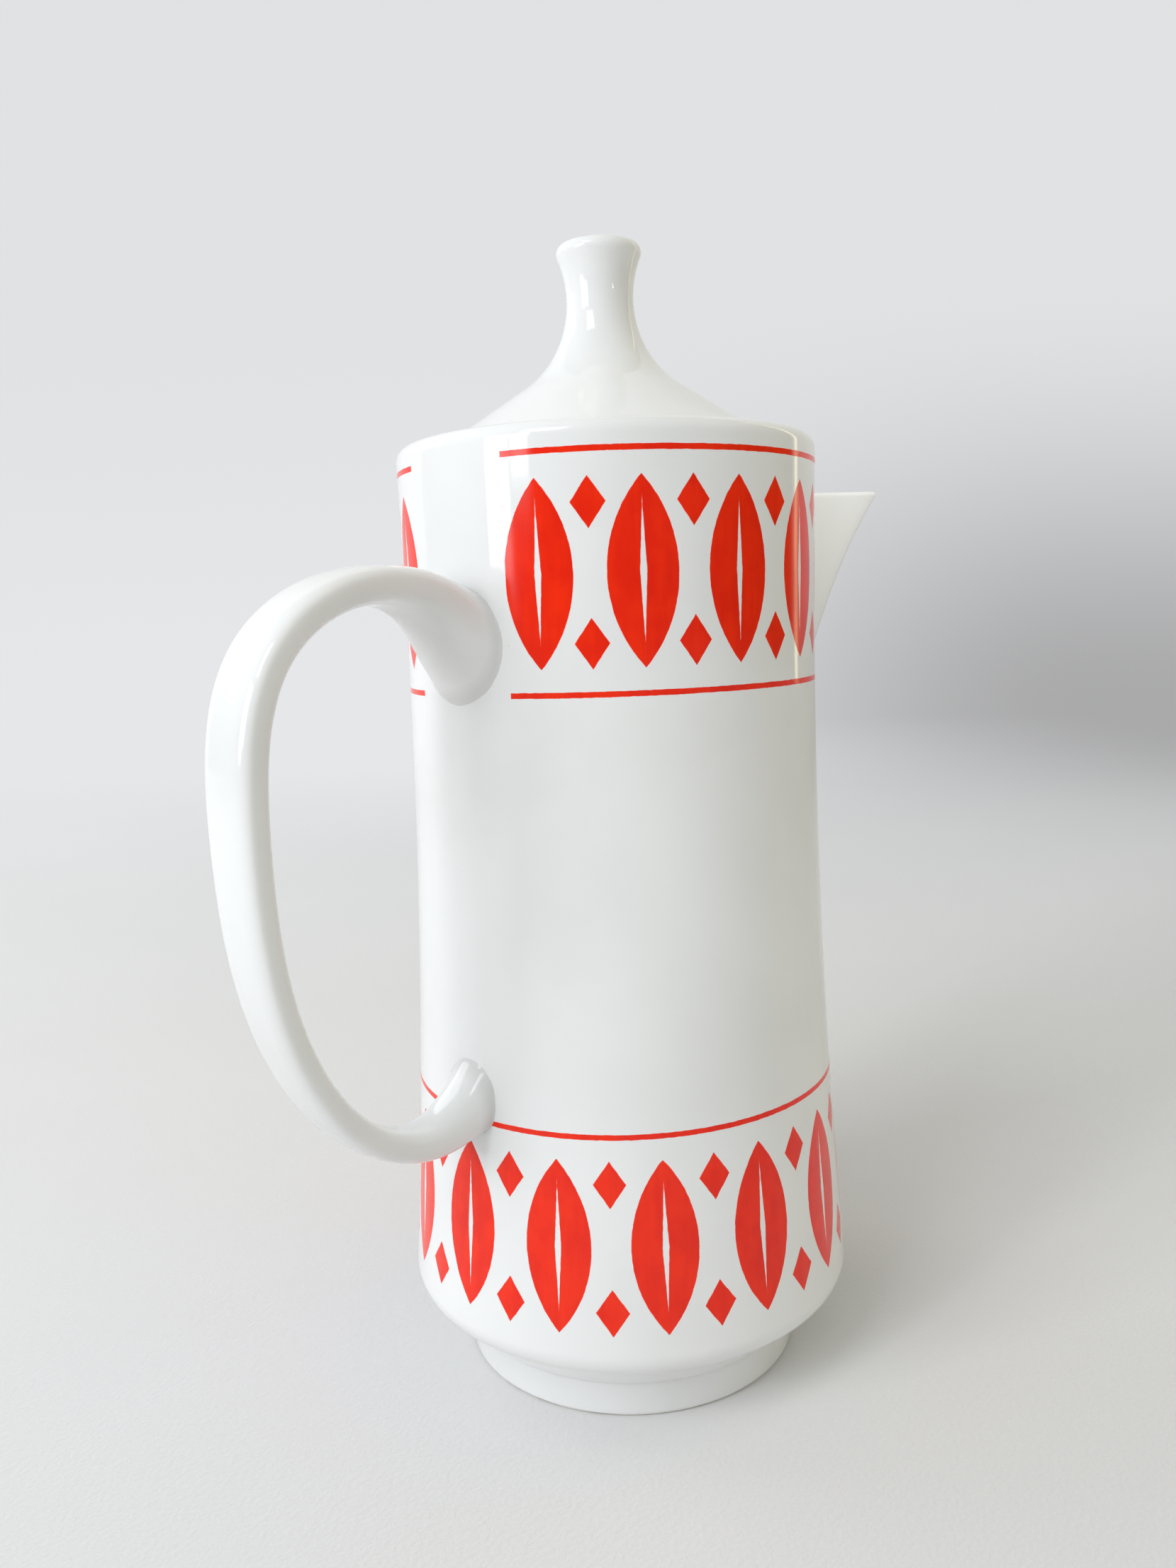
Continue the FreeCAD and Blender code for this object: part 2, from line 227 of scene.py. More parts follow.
class StageSizes(bpy.types.PropertyGroup):
    """Camera, paper, room light and lamps."""

    heading: angle("Heading", "Turn from the spout's direction to the camera's line of sight", 43.0)
    distance: length("Camera distance", "From the pot's axis to the camera", 0.275274)
    height: length("Camera height", "Camera above the table", 0.165384)
    yaw: angle("Yaw", "Camera turned from the pot's axis", -1.2605)
    pitch: angle("Pitch", "Camera turned down", 7.9068)
    roll: angle("Roll", "Camera turned about its line of sight", -2.0054)
    lens: amount("Lens", "Focal length in millimetres on a 36 mm long side", 28.764)
    sheet_width: length("Sheet width", "Width of the sheet of paper", 6.0)
    sheet_reach: length("Sheet reach", "How far behind the pot it is folded up", 1.5)
    sheet_rise: length("Sheet rise", "Height of the part behind", 2.6)
    paper: colour("Paper", "The sheet behind, as it is seen", (0.75, 0.76, 0.768, 1.0))
    paper_lit: colour("Lit paper", "The sheet under the pot", (0.71, 0.708, 0.708, 1.0))
    paper_low: colour("Low paper", "The sheet behind, where it leaves the floor", (0.79, 0.80, 0.82, 1.0))
    # Painted shade in the sheet's glow, low down behind the pot and away from the window
    paper_shade: colour("Shaded paper", "The same place, away from the window", (0.40, 0.40, 0.405, 1.0))
    room_cool: colour("Cool light", "Room light from the window's side", (0.945, 0.978, 1.0, 1.0))
    room_warm: colour("Warm light", "Room light from the other side", (1.0, 0.86, 0.42, 1.0))
    room_level: amount("Room level", "Strength of the light from all round", 0.43)
    room_slope: amount("Room slope", "How much stronger it is from above", 0.47)
    room_gloss: share("Room gloss", "Share of the room's light that is seen in reflections", 0.35)
    window: colour("Window light", "Light from the left", (0.945, 0.968, 1.0, 1.0))
    window_power: amount("Window power", "Watts of the light from the left", 4.4)
    pane_power: amount("Pane power", "Watts of light for each square metre of a window pane", 18.0)
    upper_power: amount("Upper power", "Watts of the light from above on the left", 3.8)
    spout_power: amount("Spout power", "Watts of the small light on the spout", 0.014)
    spout_spread: angle("Spout spread", "Width of that light's beam", 14.0)
    strip_power: amount("Strip power", "Watts of the narrow light on the right", 0.08)


SETTINGS = (
    ("body", BodySizes),
    ("lid", LidSizes),
    ("spout", SpoutSizes),
    ("handle", HandleSizes),
    ("frieze", FriezeSizes),
    ("finish", Finish),
    ("stage", StageSizes),
)


def settings(name):
    return getattr(bpy.context.scene, "coffee_pot_" + name)


def heading_of(away, home):
    way = away - home
    return math.atan2(way.y, way.x)


def toward(start, end, distance):
    """Point at a distance from start, on the way to end."""
    return start + (end - start).normalized() * distance


def arc(centre, start, end, steps):
    """Points of the shorter arc about a centre."""
    first = heading_of(start, centre)
    turn = (heading_of(end, centre) - first + math.pi) % (2 * math.pi) - math.pi
    radius = (start - centre).length
    points = []
    for i in range(steps + 1):
        heading = first + turn * i / steps
        points.append(centre + Vector((math.cos(heading), math.sin(heading))) * radius)
    return points


def corner(before, place, after, radius, steps=4):
    """Points of a rounded corner between two straight ways."""
    back = (before - place).normalized()
    onward = (after - place).normalized()
    half = back.angle(onward) / 2
    centre = place + (back + onward).normalized() * radius / math.sin(half)
    reach = radius / math.tan(half)
    return arc(centre, place + back * reach, place + onward * reach, steps)


def corners(start, stops, end):
    """Points of the rounded corners of a line through the stops, each given with its radius."""
    places = [start] + [place for place, radius in stops] + [end]
    points = []
    for i, (place, radius) in enumerate(stops, 1):
        points += corner(places[i - 1], place, places[i + 1], radius)
    return points


def circles_meet(centre_a, radius_a, centre_b, radius_b):
    """Upper crossing of two circles."""
    way = centre_b - centre_a
    along = (way.length ** 2 + radius_a ** 2 - radius_b ** 2) / (2 * way.length)
    aside = math.sqrt(radius_a ** 2 - along ** 2)
    way.normalize()
    return centre_a + way * along + Vector((way.y, -way.x)) * aside


class Wall:
    """The body's long hollow sweep, and the places that other pieces share with it."""

    def __init__(self, sizes):
        drop = sizes.waist_height - sizes.base_height
        self.sweep = (drop ** 2 + sizes.base_flare ** 2) / (2 * sizes.base_flare)
        self.centre = Vector((sizes.waist_radius + self.sweep, sizes.waist_height))
        low_rim = sizes.rim_height - sizes.rim_round
        self.rim_centre = Vector((self.radius(low_rim, sizes.rim_round), low_rim))
        self.rim_start = toward(self.rim_centre, self.centre, sizes.rim_round)
        self.seat_height = sizes.rim_height - sizes.seat_depth
        self.seat_radius = self.rim_start.x - sizes.rim_width
        self.throat_radius = self.seat_radius - sizes.seat_width
        self.foot_radius = sizes.waist_radius + sizes.base_flare - sizes.foot_inset
        self.foot_inner = self.foot_radius - sizes.foot_width

    def radius(self, height, depth=0.0):
        """Radius, at a height, of the surface that lies a depth inside the outer wall."""
        return self.centre.x - math.sqrt((self.sweep + depth) ** 2 - (height - self.centre.y) ** 2)

    def distance(self, place):
        """How far a place stands out from the wall."""
        return math.hypot(place.x, place.y) - self.radius(place.z)

    def run(self, low, high, depth, steps):
        """Points up the wall between two heights, a depth inside it."""
        heights = [low + (high - low) * i / steps for i in range(steps + 1)]
        return [Vector((self.radius(height, depth), height)) for height in heights]


def add_vertex(place):
    """One vertex at a place, selected alone in edit mode."""
    bpy.ops.mesh.select_all(action="DESELECT")
    bpy.ops.mesh.primitive_plane_add(size=0.001, location=place)
    bpy.ops.mesh.merge(type="CENTER")


def new_mesh(name):
    """An empty mesh object at the origin, in edit mode."""
    bpy.ops.object.select_all(action="DESELECT")
    bpy.ops.mesh.primitive_plane_add(size=0.001, location=(0.0, 0.0, 0.0))
    piece = bpy.context.object
    piece.name = name
    piece.data.name = name
    bpy.ops.object.mode_set(mode="EDIT")
    bpy.ops.mesh.delete(type="VERT")
    return piece


def draw_on(points):
    """Edges through the points, from the selected vertex at the first of them."""
    for start, end in zip(points, points[1:]):
        bpy.ops.mesh.extrude_vertices_move(TRANSFORM_OT_translate={"value": end - start})


def select_vertices(piece, wanted):
    """Select, in edit mode, the vertices that pass a test and all that lies between them."""
    mesh = bmesh.from_edit_mesh(piece.data)
    for vertex in mesh.verts:
        vertex.select = wanted(vertex)
    mesh.select_flush_mode()
    mesh.select_flush(True)
    bmesh.update_edit_mesh(piece.data)


def merge_and_face_out(gap):
    """Merge points across a gap, turn all faces outwards and leave edit mode."""
    bpy.ops.mesh.select_all(action="SELECT")
    bpy.ops.mesh.remove_doubles(threshold=gap)
    bpy.ops.mesh.normals_make_consistent(inside=False)
    bpy.ops.object.mode_set(mode="OBJECT")


def turn_on_wheel(name, section, turns):
    """A solid turned about the upright axis from a section given as radius and height."""
    piece = new_mesh(name)
    points = [Vector((point.x, 0.0, point.y)) for point in section]
    add_vertex(points[0])
    draw_on(points)
    bpy.ops.mesh.select_all(action="SELECT")
    bpy.ops.mesh.spin(steps=turns, angle=2 * math.pi, center=(0.0, 0.0, 0.0), axis=(0.0, 0.0, 1.0))
    merge_and_face_out(SAME_PLACE)
    return piece


def loft(name, rows):
    """A tube through closed rows of points, each bridged to the next, with faces over both ends."""
    piece = new_mesh(name)
    bmesh.from_edit_mesh(piece.data).verts.layers.int.new("row")
    for number, row in enumerate(rows):
        add_vertex(row[0])
        mesh = bmesh.from_edit_mesh(piece.data)
        row_of = mesh.verts.layers.int["row"]
        for vertex in mesh.verts:
            if vertex.select:
                vertex[row_of] = number
        draw_on(row + row[:1])
    bpy.ops.mesh.select_all(action="SELECT")
    bpy.ops.mesh.remove_doubles(threshold=SAME_PLACE)
    last = len(rows) - 1
    for number in range(last):
        select_rows(piece, (number, number + 1))
        bpy.ops.mesh.bridge_edge_loops()
    for end in (0, last):
        select_rows(piece, (end,))
        bpy.ops.mesh.edge_face_add()
    return piece


def select_rows(piece, numbers):
    mesh = bmesh.from_edit_mesh(piece.data)
    row_of = mesh.verts.layers.int["row"]
    select_vertices(piece, lambda vertex: vertex[row_of] in numbers)


def finish_loft(piece, gap):
    """Close the tube where its points lie within a gap of each other, and smooth it."""
    merge_and_face_out(gap)
    piece.data.attributes.remove(piece.data.attributes["row"])
    smooth = piece.modifiers.new("smooth", "SUBSURF")
    smooth.levels = 2
    smooth.render_levels = 2
    apply_modifier(piece, smooth)


def make_active(piece):
    """Select a piece alone."""
    bpy.ops.object.select_all(action="DESELECT")
    piece.select_set(True)
    bpy.context.view_layer.objects.active = piece


def apply_modifier(piece, modifier):
    make_active(piece)
    bpy.ops.object.modifier_apply(modifier=modifier.name)


def lute_to_wall(piece, wall, fillet):
    """Swell a root where it nears the wall, as slip and glaze round the join."""
    group = piece.vertex_groups.new(name="join")
    for vertex in piece.data.vertices:
        gap = min(max(wall.distance(vertex.co), 0.0), fillet)
        swell = 1 - math.sqrt(1 - (1 - gap / fillet) ** 2)
        group.add([vertex.index], swell, "REPLACE")
    join = piece.modifiers.new("join", "DISPLACE")
    join.vertex_group = group.name
    join.strength = fillet
    join.mid_level = 0.0
    apply_modifier(piece, join)
    piece.vertex_groups.clear()


def settle(piece, node, body, material):
    """Smooth shading, material, and the CAD node that the piece stands for."""
    make_active(piece)
    bpy.ops.object.shade_smooth_by_angle(angle=SHARP_ANGLE)
    piece.data.materials.clear()
    piece.data.materials.append(material)
    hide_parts(node)
    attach(piece, body)


def body_section(sizes, wall):
    """Half section of the body, from the hollow of the foot round the outside to the floor inside."""
    soft = sizes.edge_soften
    crease = 4 * soft
    recess_middle = Vector((0.0, sizes.foot_recess))
    recess_edge = Vector((wall.foot_inner, sizes.foot_recess))
    ring_inner = Vector((wall.foot_inner, 0.0))
    ring_outer = Vector((wall.foot_radius, 0.0))
    foot_top = Vector((wall.foot_radius, sizes.foot_height))
    base_centre = Vector((wall.radius(sizes.base_height, sizes.base_round), sizes.base_height))
    way = base_centre - foot_top
    lean = math.atan2(way.y, way.x) - math.asin(sizes.base_round / way.length)
    run = math.sqrt(way.length ** 2 - sizes.base_round ** 2)
    base_start = foot_top + Vector((math.cos(lean), math.sin(lean))) * run
    base_end = toward(base_centre, wall.centre, sizes.base_round)
    rim_top = Vector((wall.rim_centre.x, sizes.rim_height))

    throat_low = wall.seat_height - sizes.throat_height
    inner_top = throat_low - wall.radius(throat_low, sizes.wall) + wall.throat_radius
    inner_rim = Vector((wall.radius(inner_top, sizes.wall), inner_top))
    rim_inner = Vector((wall.seat_radius, sizes.rim_height))
    seat_outer = Vector((wall.seat_radius, wall.seat_height))
    seat_inner = Vector((wall.throat_radius, wall.seat_height))
    throat_end = Vector((wall.throat_radius, throat_low))
    inner_start = toward(base_start, base_centre, sizes.wall)
    inner_end = toward(base_end, base_centre, sizes.wall)
    floor_height = sizes.foot_recess + sizes.floor_thickness
    floor_edge = Vector((inner_start.x - (inner_start.y - floor_height) / math.tan(lean), floor_height))
    floor_middle = Vector((0.0, floor_height))

    foot = [
        (recess_edge, 2 * soft), (ring_inner, sizes.foot_round), (ring_outer, sizes.foot_round),
        (foot_top, soft)]
    seat = [
        (rim_inner, sizes.rim_inner_round), (seat_outer, soft), (seat_inner, soft), (throat_end, soft),
        (inner_rim, crease)]
    points = [recess_middle]
    points += corners(recess_middle, foot, base_start)
    points += arc(base_centre, base_start, base_end, steps=10)
    points += wall.run(base_end.y, wall.rim_start.y, depth=0.0, steps=30)[1:]
    points += arc(wall.rim_centre, wall.rim_start, rim_top, steps=8)[1:]
    points += corners(rim_top, seat, inner_end)
    points += wall.run(inner_rim.y - crease, inner_end.y, depth=sizes.wall, steps=24)
    points += arc(base_centre, inner_end, inner_start, steps=4)[1:]
    points += corner(inner_start, floor_edge, floor_middle, crease)
    points.append(floor_middle)
    return points


def hole_cutter(sizes, wall):
    """A bar with round ends that pierces the wall behind the spout."""
    half = sizes.hole_width / 2
    middle = sizes.rim_height - sizes.hole_drop
    stretch = sizes.hole_height / 2 - half
    bpy.ops.object.select_all(action="DESELECT")
    bpy.ops.mesh.primitive_cylinder_add(
        vertices=64, radius=half, depth=wall.throat_radius,
        location=(wall.throat_radius, 0.0, middle), rotation=(0.0, math.pi / 2, 0.0))
    cutter = bpy.context.object
    bpy.ops.object.transform_apply(location=True, rotation=True, scale=True)
    bpy.ops.object.mode_set(mode="EDIT")
    for way in (-1, 1):
        select_vertices(cutter, lambda vertex: (vertex.co.z - middle) * way > SAME_PLACE)
        bpy.ops.transform.translate(value=(0.0, 0.0, way * stretch))
    bpy.ops.object.mode_set(mode="OBJECT")
    return cutter


class COFFEE_POT_OT_body(bpy.types.Operator):
    """Turn the body, pierce it behind the spout, and glaze and paint it"""

    bl_idname = "coffee_pot.body"
    bl_label = "Body"

    def execute(self, context):
        sizes = settings("body")
        wall = Wall(sizes)
        piece = turn_on_wheel("body_shell", body_section(sizes, wall), sizes.turns)
        cutter = hole_cutter(sizes, wall)
        pierce = piece.modifiers.new("pierce", "BOOLEAN")
        pierce.operation = "DIFFERENCE"
        pierce.solver = "EXACT"
        pierce.object = cutter
        apply_modifier(piece, pierce)
        bpy.data.meshes.remove(cutter.data)
        settle(piece, "pot_body", "pot", painted_glaze(sizes, wall))
        return {"FINISHED"}


# Rounds that bring a point of the sloping rows to rest, since its height and its reach hang on each other
SLOPE_ROUNDS = 4


class Beak:
    """Level slices of the spout, from its foot on the wall at 0 to its tip at 1."""

    def __init__(self, sizes, wall, rim_height):
        self.sizes = sizes
        self.wall = wall
        self.top = rim_height - sizes.drop
        self.low = self.top - sizes.depth
        self.tip = wall.radius(self.low) + sizes.reach

    def keel(self, level):
        sizes = self.sizes
        rest = 1 - level
        reach = level ** 2 * (1 + 2 * rest) * sizes.reach
        reach += level * rest * (rest * sizes.start_reach - level * sizes.end_reach)
        return self.wall.radius(self.low) + reach

    def half_slice(self, level, inset):
        """Centre and radius of the keel's round, and the heading where a flank leaves it."""
        sizes = self.sizes
        radius = sizes.keel_round + (sizes.tip_round - sizes.keel_round) * level
        spread = sizes.keel_spread + (sizes.tip_spread - sizes.keel_spread) * level
        centre = Vector((self.keel(level) - radius, 0.0))
        anchor = Vector((self.wall.throat_radius / 2, radius + spread))
        way = centre - anchor
        facing = math.atan2(way.y, way.x) + math.asin(radius / way.length) + math.pi / 2
        return centre, radius - inset, facing

    def flank(self, level, height, inset, part):
        """Point and outward direction at a share of the way from the keel back to the wall."""
        centre, radius, facing = self.half_slice(level, inset)
        buried = self.wall.radius(height) - self.sizes.bury
        normal = Vector((math.cos(facing), math.sin(facing)))
        back = Vector((-normal.y, normal.x))
        touch = centre + normal * radius
        if touch.length > buried:
            along = touch.dot(back)
            straight = -along - math.sqrt(along ** 2 - touch.length_squared + buried ** 2)
            bend = facing
        else:
            straight = 0.0
            cosine = (buried ** 2 - centre.x ** 2 - radius ** 2) / (2 * centre.x * radius)
            bend = math.acos(min(1.0, max(-1.0, cosine)))
        walked = part * (radius * bend + straight)
        if walked > radius * bend:
            return touch + back * (walked - radius * bend), normal
        turn = walked / radius
        normal = Vector((math.cos(turn), math.sin(turn)))
        return centre + normal * radius, normal

    def lean(self, part):
        """How far the outer face runs out for each unit of height, at the lip."""
        drop = 0.01
        spot, normal = self.flank(1.0, self.top, 0.0, part)
        below = self.flank(1.0 - drop, self.top - drop * self.sizes.depth, 0.0, part)[0]
        return (spot - below).dot(normal) / (drop * self.sizes.depth)

    def rounding(self, part, inner, turn):
        """Inset from a face and depth below the lip, at a share of the way round its edge."""
        radius = self.sizes.lip_round
        lean = self.lean(part)
        if inner:
            lean = -lean
        slant = math.hypot(1.0, lean)
        start = -math.atan(lean)
        heading = start + (math.pi / 2 - start) * turn
        sink = radius * (1 - math.sin(heading))
        return radius * (lean + slant - math.cos(heading)) - lean * sink, sink

    def half_row(self, level, inner, turn, shares):
        """Points of half a row, on a face of the beak or just inside the wall where that lies deeper."""
        slope = max(level, 0.0) ** 2 * math.tan(self.sizes.tilt)
        level_height = self.low + level * self.sizes.depth
        points = []
        for part in shares:
            pinch, sink = 0.0, 0.0
            if turn is not None:
                pinch, sink = self.rounding(part, inner, turn)
            inset = self.sizes.wall - pinch if inner else pinch
            height = level_height
            for _ in range(SLOPE_ROUNDS):
                place = (height - self.low) / self.sizes.depth
                spot = self.flank(place, height, inset, part)[0]
                height = level_height - sink + slope * (spot.x - self.tip)
            buried = self.wall.radius(height) - self.sizes.bury
            if self.keel(place) - inset < buried:
                outer = self.flank(place, height, 0.0, 1.0)[0]
                swing = part * math.atan2(outer.y, outer.x)
                spot = Vector((math.cos(swing), math.sin(swing))) * buried
            points.append(Vector((spot.x, spot.y, height)))
        return points

    def row(self, level, turn=None):
        """A closed row: out along one flank, round the keel, back along the other, and home inside."""
        half = self.sizes.columns
        shares = [1 - i / half for i in range(half + 1)]
        mirror = Matrix.Diagonal((1.0, -1.0, 1.0))
        sides = []
        for inner in (False, True):
            side = self.half_row(level, inner, turn, shares)
            side += [mirror @ point for point in reversed(side[:-1])]
            sides.append(side)
        return sides[0] + list(reversed(sides[1]))

    def rows(self):
        """All rows from the foot up, the rounded lip, and a last row along the middle of its top."""
        sizes = self.sizes
        start = -0.008
        lip_room = 2.4 * sizes.lip_round
        end = 1 - lip_room / sizes.depth
        almost_half = 0.49
        rows = []
        for i in range(sizes.levels):
            rows.append(self.row(start + (end - start) * i / (sizes.levels - 1)))
        for turn in (0.0, 0.25, 0.5, 0.75, 1.0):
            rows.append(self.row(1.0, turn))
        opposite = list(reversed(rows[-1]))
        rows.append([point.lerp(other, almost_half) for point, other in zip(rows[-1], opposite)])
        return rows


class COFFEE_POT_OT_spout(bpy.types.Operator):
    """Loft the open beak and lute it to the wall"""

    bl_idname = "coffee_pot.spout"
    bl_label = "Spout"

    def execute(self, context):
        sizes = settings("spout")
        wall = Wall(settings("body"))
        piece = loft("spout_beak", Beak(sizes, wall, settings("body").rim_height).rows())
        finish_loft(piece, sizes.seam)
        lute_to_wall(piece, wall, sizes.fillet)
        settle(piece, "spout", "pot", plain_glaze("spout_glaze"))
        return {"FINISHED"}


# Middle line of the strap, as shares of its reach from the wall and of its span above the lower root
STRAP_PATH = (
    (0.12, 1.054),
    (0.41, 1.098),
    (0.86, 0.989),
    (1.0, 0.643),
    (0.85, 0.233),
    (0.43, -0.015),
    (0.2, -0.04),
)


class Strap:
    """The handle's middle line, a smooth curve through its places, and the sections along it."""

    def __init__(self, sizes, wall, rim_height):
        self.sizes = sizes
        self.wall = wall
        upper = rim_height - sizes.drop
        lower = upper - sizes.span
        places = [(-sizes.root_depth, upper - sizes.root_depth / 2), (0.0, upper)]
        places += [(out * sizes.reach, lower + up * sizes.span) for out, up in STRAP_PATH]
        places += [(0.0, lower), (-sizes.root_depth, lower + sizes.root_depth / 2)]
        self.points = numpy.array([(-wall.radius(height) - out, height) for out, height in places])
        steps = numpy.linalg.norm(numpy.diff(self.points, axis=0), axis=1)
        self.knots = numpy.concatenate(([0.0], numpy.cumsum(steps)))
        self.bends = self.second_slopes(steps)

    def second_slopes(self, steps):
        """Second slopes at the places, for a curve that turns evenly through them all."""
        total = len(self.points)
        matrix = numpy.zeros((total, total))
        target = numpy.zeros((total, 2))
        for i in range(1, total - 1):
            before, after = steps[i - 1], steps[i]
            matrix[i, i - 1:i + 2] = before, 2 * (before + after), after
            rise = (self.points[i + 1] - self.points[i]) / after
            target[i] = 6 * (rise - (self.points[i] - self.points[i - 1]) / before)
        matrix[0, :3] = steps[1], -(steps[0] + steps[1]), steps[0]
        matrix[-1, -3:] = steps[-1], -(steps[-2] + steps[-1]), steps[-2]
        return numpy.linalg.solve(matrix, target)

    def at(self, part):
        """Place and direction of the middle line at a share of its length."""
        walked = part * self.knots[-1]
        i = min(max(int(numpy.searchsorted(self.knots, walked)) - 1, 0), len(self.knots) - 2)
        step = self.knots[i + 1] - self.knots[i]
        right = (walked - self.knots[i]) / step
        left = 1 - right
        bend = self.bends[i] * (left ** 3 - left) + self.bends[i + 1] * (right ** 3 - right)
        place = self.points[i] * left + self.points[i + 1] * right + bend * step ** 2 / 6
        turn = self.bends[i + 1] * (3 * right ** 2 - 1) - self.bends[i] * (3 * left ** 2 - 1)
        slope = (self.points[i + 1] - self.points[i]) / step + turn * step / 6
        return Vector((place[0], 0.0, place[1])), Vector((slope[0], 0.0, slope[1])).normalized()

    def skin(self, part, turn):
        """Point of the strap's surface, at a share of its length and a turn round its section."""
        sizes = self.sizes
        middle, tangent = self.at(part)
        out = -middle.x - self.wall.radius(middle.z)
        near_root = math.exp(-(sizes.root_depth + out) / sizes.root_taper)
        if part < 0.5:
            up = 1.0
            root = sizes.upper_root_width, sizes.upper_root_height, sizes.upper_root_edge
        else:
            up = -1.0
            root = sizes.lower_root_width, sizes.lower_root_height, sizes.lower_root_edge
        root_width, root_height, root_edge = root
        across = Vector((tangent.z, 0.0, -tangent.x)) * (1 - near_root) + Vector((0.0, 0.0, up)) * near_root
        across.normalize()
        width = sizes.width + (sizes.low_width - sizes.width) * part
        thickness = sizes.thickness + (sizes.low_thickness - sizes.thickness) * part
        width += (root_width - width) * near_root
        thickness += (root_height - thickness) * near_root
        power = 2 * (sizes.edge + (root_edge - sizes.edge) * near_root) / thickness
        side, depth = (math.copysign(abs(wave) ** power, wave) for wave in (math.cos(turn), math.sin(turn)))
        return middle + Vector((0.0, side * width / 2, 0.0)) + across * (depth * thickness / 2)

    def surfacing(self, turn, part, way):
        """Share of the length, from one end, where the skin comes up to the depth that roots are buried."""
        step = 0.0005
        while self.wall.distance(self.skin(part, turn)) < -self.sizes.bury:
            part += way * step
        return part

    def rows(self):
        """Sections along the strap, closest near the wall, the first and last of them along it."""
        sizes = self.sizes
        turns = [2 * math.pi * i / sizes.points for i in range(sizes.points)]
        ends = [(turn, self.surfacing(turn, 0.0, 1), self.surfacing(turn, 1.0, -1)) for turn in turns]
        rows = []
        for i in range(sizes.stations):
            ease = (1 - math.cos(math.pi * i / (sizes.stations - 1))) / 2
            rows.append([self.skin(first + (last - first) * ease, turn) for turn, first, last in ends])
        return rows


class COFFEE_POT_OT_handle(bpy.types.Operator):
    """Loft the strap and lute both its roots to the wall"""

    bl_idname = "coffee_pot.handle"
    bl_label = "Handle"

    def execute(self, context):
        sizes = settings("handle")
        wall = Wall(settings("body"))
        piece = loft("handle_strap", Strap(sizes, wall, settings("body").rim_height).rows())
        finish_loft(piece, SAME_PLACE)
        lute_to_wall(piece, wall, sizes.fillet)
        settle(piece, "handle", "pot", plain_glaze("handle_glaze"))
        return {"FINISHED"}


def lid_section(sizes, wall, soft):
    """Half section of the lid, from the crown of the knob down the outside and back up inside."""
    edge_radius = wall.seat_radius - sizes.clearance
    skirt_radius = wall.throat_radius - sizes.clearance
    skirt_inner = skirt_radius - sizes.skirt_wall
    skirt_low = wall.seat_height - sizes.skirt_depth
    edge_top = Vector((edge_radius, wall.seat_height + sizes.edge_height))
    edge_low = Vector((edge_radius, wall.seat_height))
    skirt_top = Vector((skirt_radius, wall.seat_height))
    skirt_outer = Vector((skirt_radius, skirt_low))
    skirt_home = Vector((skirt_inner, skirt_low))
    square = Vector((math.sin(sizes.slope), math.cos(sizes.slope)))

    cone_radius = sizes.neck_radius + sizes.neck_sweep * (1 - math.sin(sizes.slope))
    cone_top = Vector((cone_radius, edge_top.y + (edge_radius - cone_radius) * math.tan(sizes.slope)))
    neck_centre = cone_top + square * sizes.neck_sweep
    knob_top = Vector((0.0, neck_centre.y + sizes.knob_rise))
    dome_centre = knob_top - Vector((0.0, sizes.knob_dome))
    round_centre = circles_meet(
        neck_centre, sizes.neck_sweep + sizes.knob_round, dome_centre, sizes.knob_dome - sizes.knob_round)
    dome_end = toward(dome_centre, round_centre, sizes.knob_dome)
    neck_start = toward(neck_centre, round_centre, sizes.neck_sweep)

    inner_top = knob_top - Vector((0.0, sizes.wall))
    inner_edge = circles_meet(
        neck_centre, sizes.neck_sweep + sizes.wall, dome_centre, sizes.knob_dome - sizes.wall)
    inner_cone = cone_top - square * sizes.wall
    inner_low = Vector((skirt_inner, inner_cone.y - (skirt_inner - inner_cone.x) * math.tan(sizes.slope)))

    edge_and_skirt = [
        (edge_top, sizes.edge_round), (edge_low, sizes.edge_round), (skirt_top, soft),
        (skirt_outer, sizes.skirt_round), (skirt_home, sizes.skirt_round), (inner_low, 4 * soft)]
    points = arc(dome_centre, knob_top, dome_end, steps=8)
    points += arc(round_centre, dome_end, neck_start, steps=8)[1:]
    points += arc(neck_centre, neck_start, cone_top, steps=22)[1:]
    points += [cone_top + (edge_top - cone_top) * part for part in (0.25, 0.5, 0.75)]
    points += corners(cone_top, edge_and_skirt, inner_cone)
    points += arc(neck_centre, inner_cone, inner_edge, steps=16)
    points += arc(dome_centre, inner_edge, inner_top, steps=4)[1:]
    return points


class COFFEE_POT_OT_lid(bpy.types.Operator):
    """Turn the lid with its knob and skirt"""

    bl_idname = "coffee_pot.lid"
    bl_label = "Lid"

    def execute(self, context):
        sizes = settings("lid")
        wall = Wall(settings("body"))
        section = lid_section(sizes, wall, settings("body").edge_soften)
        piece = turn_on_wheel("lid_cone", section, sizes.turns)
        settle(piece, "lid", "lid", lid_glaze(wall))
        return {"FINISHED"}


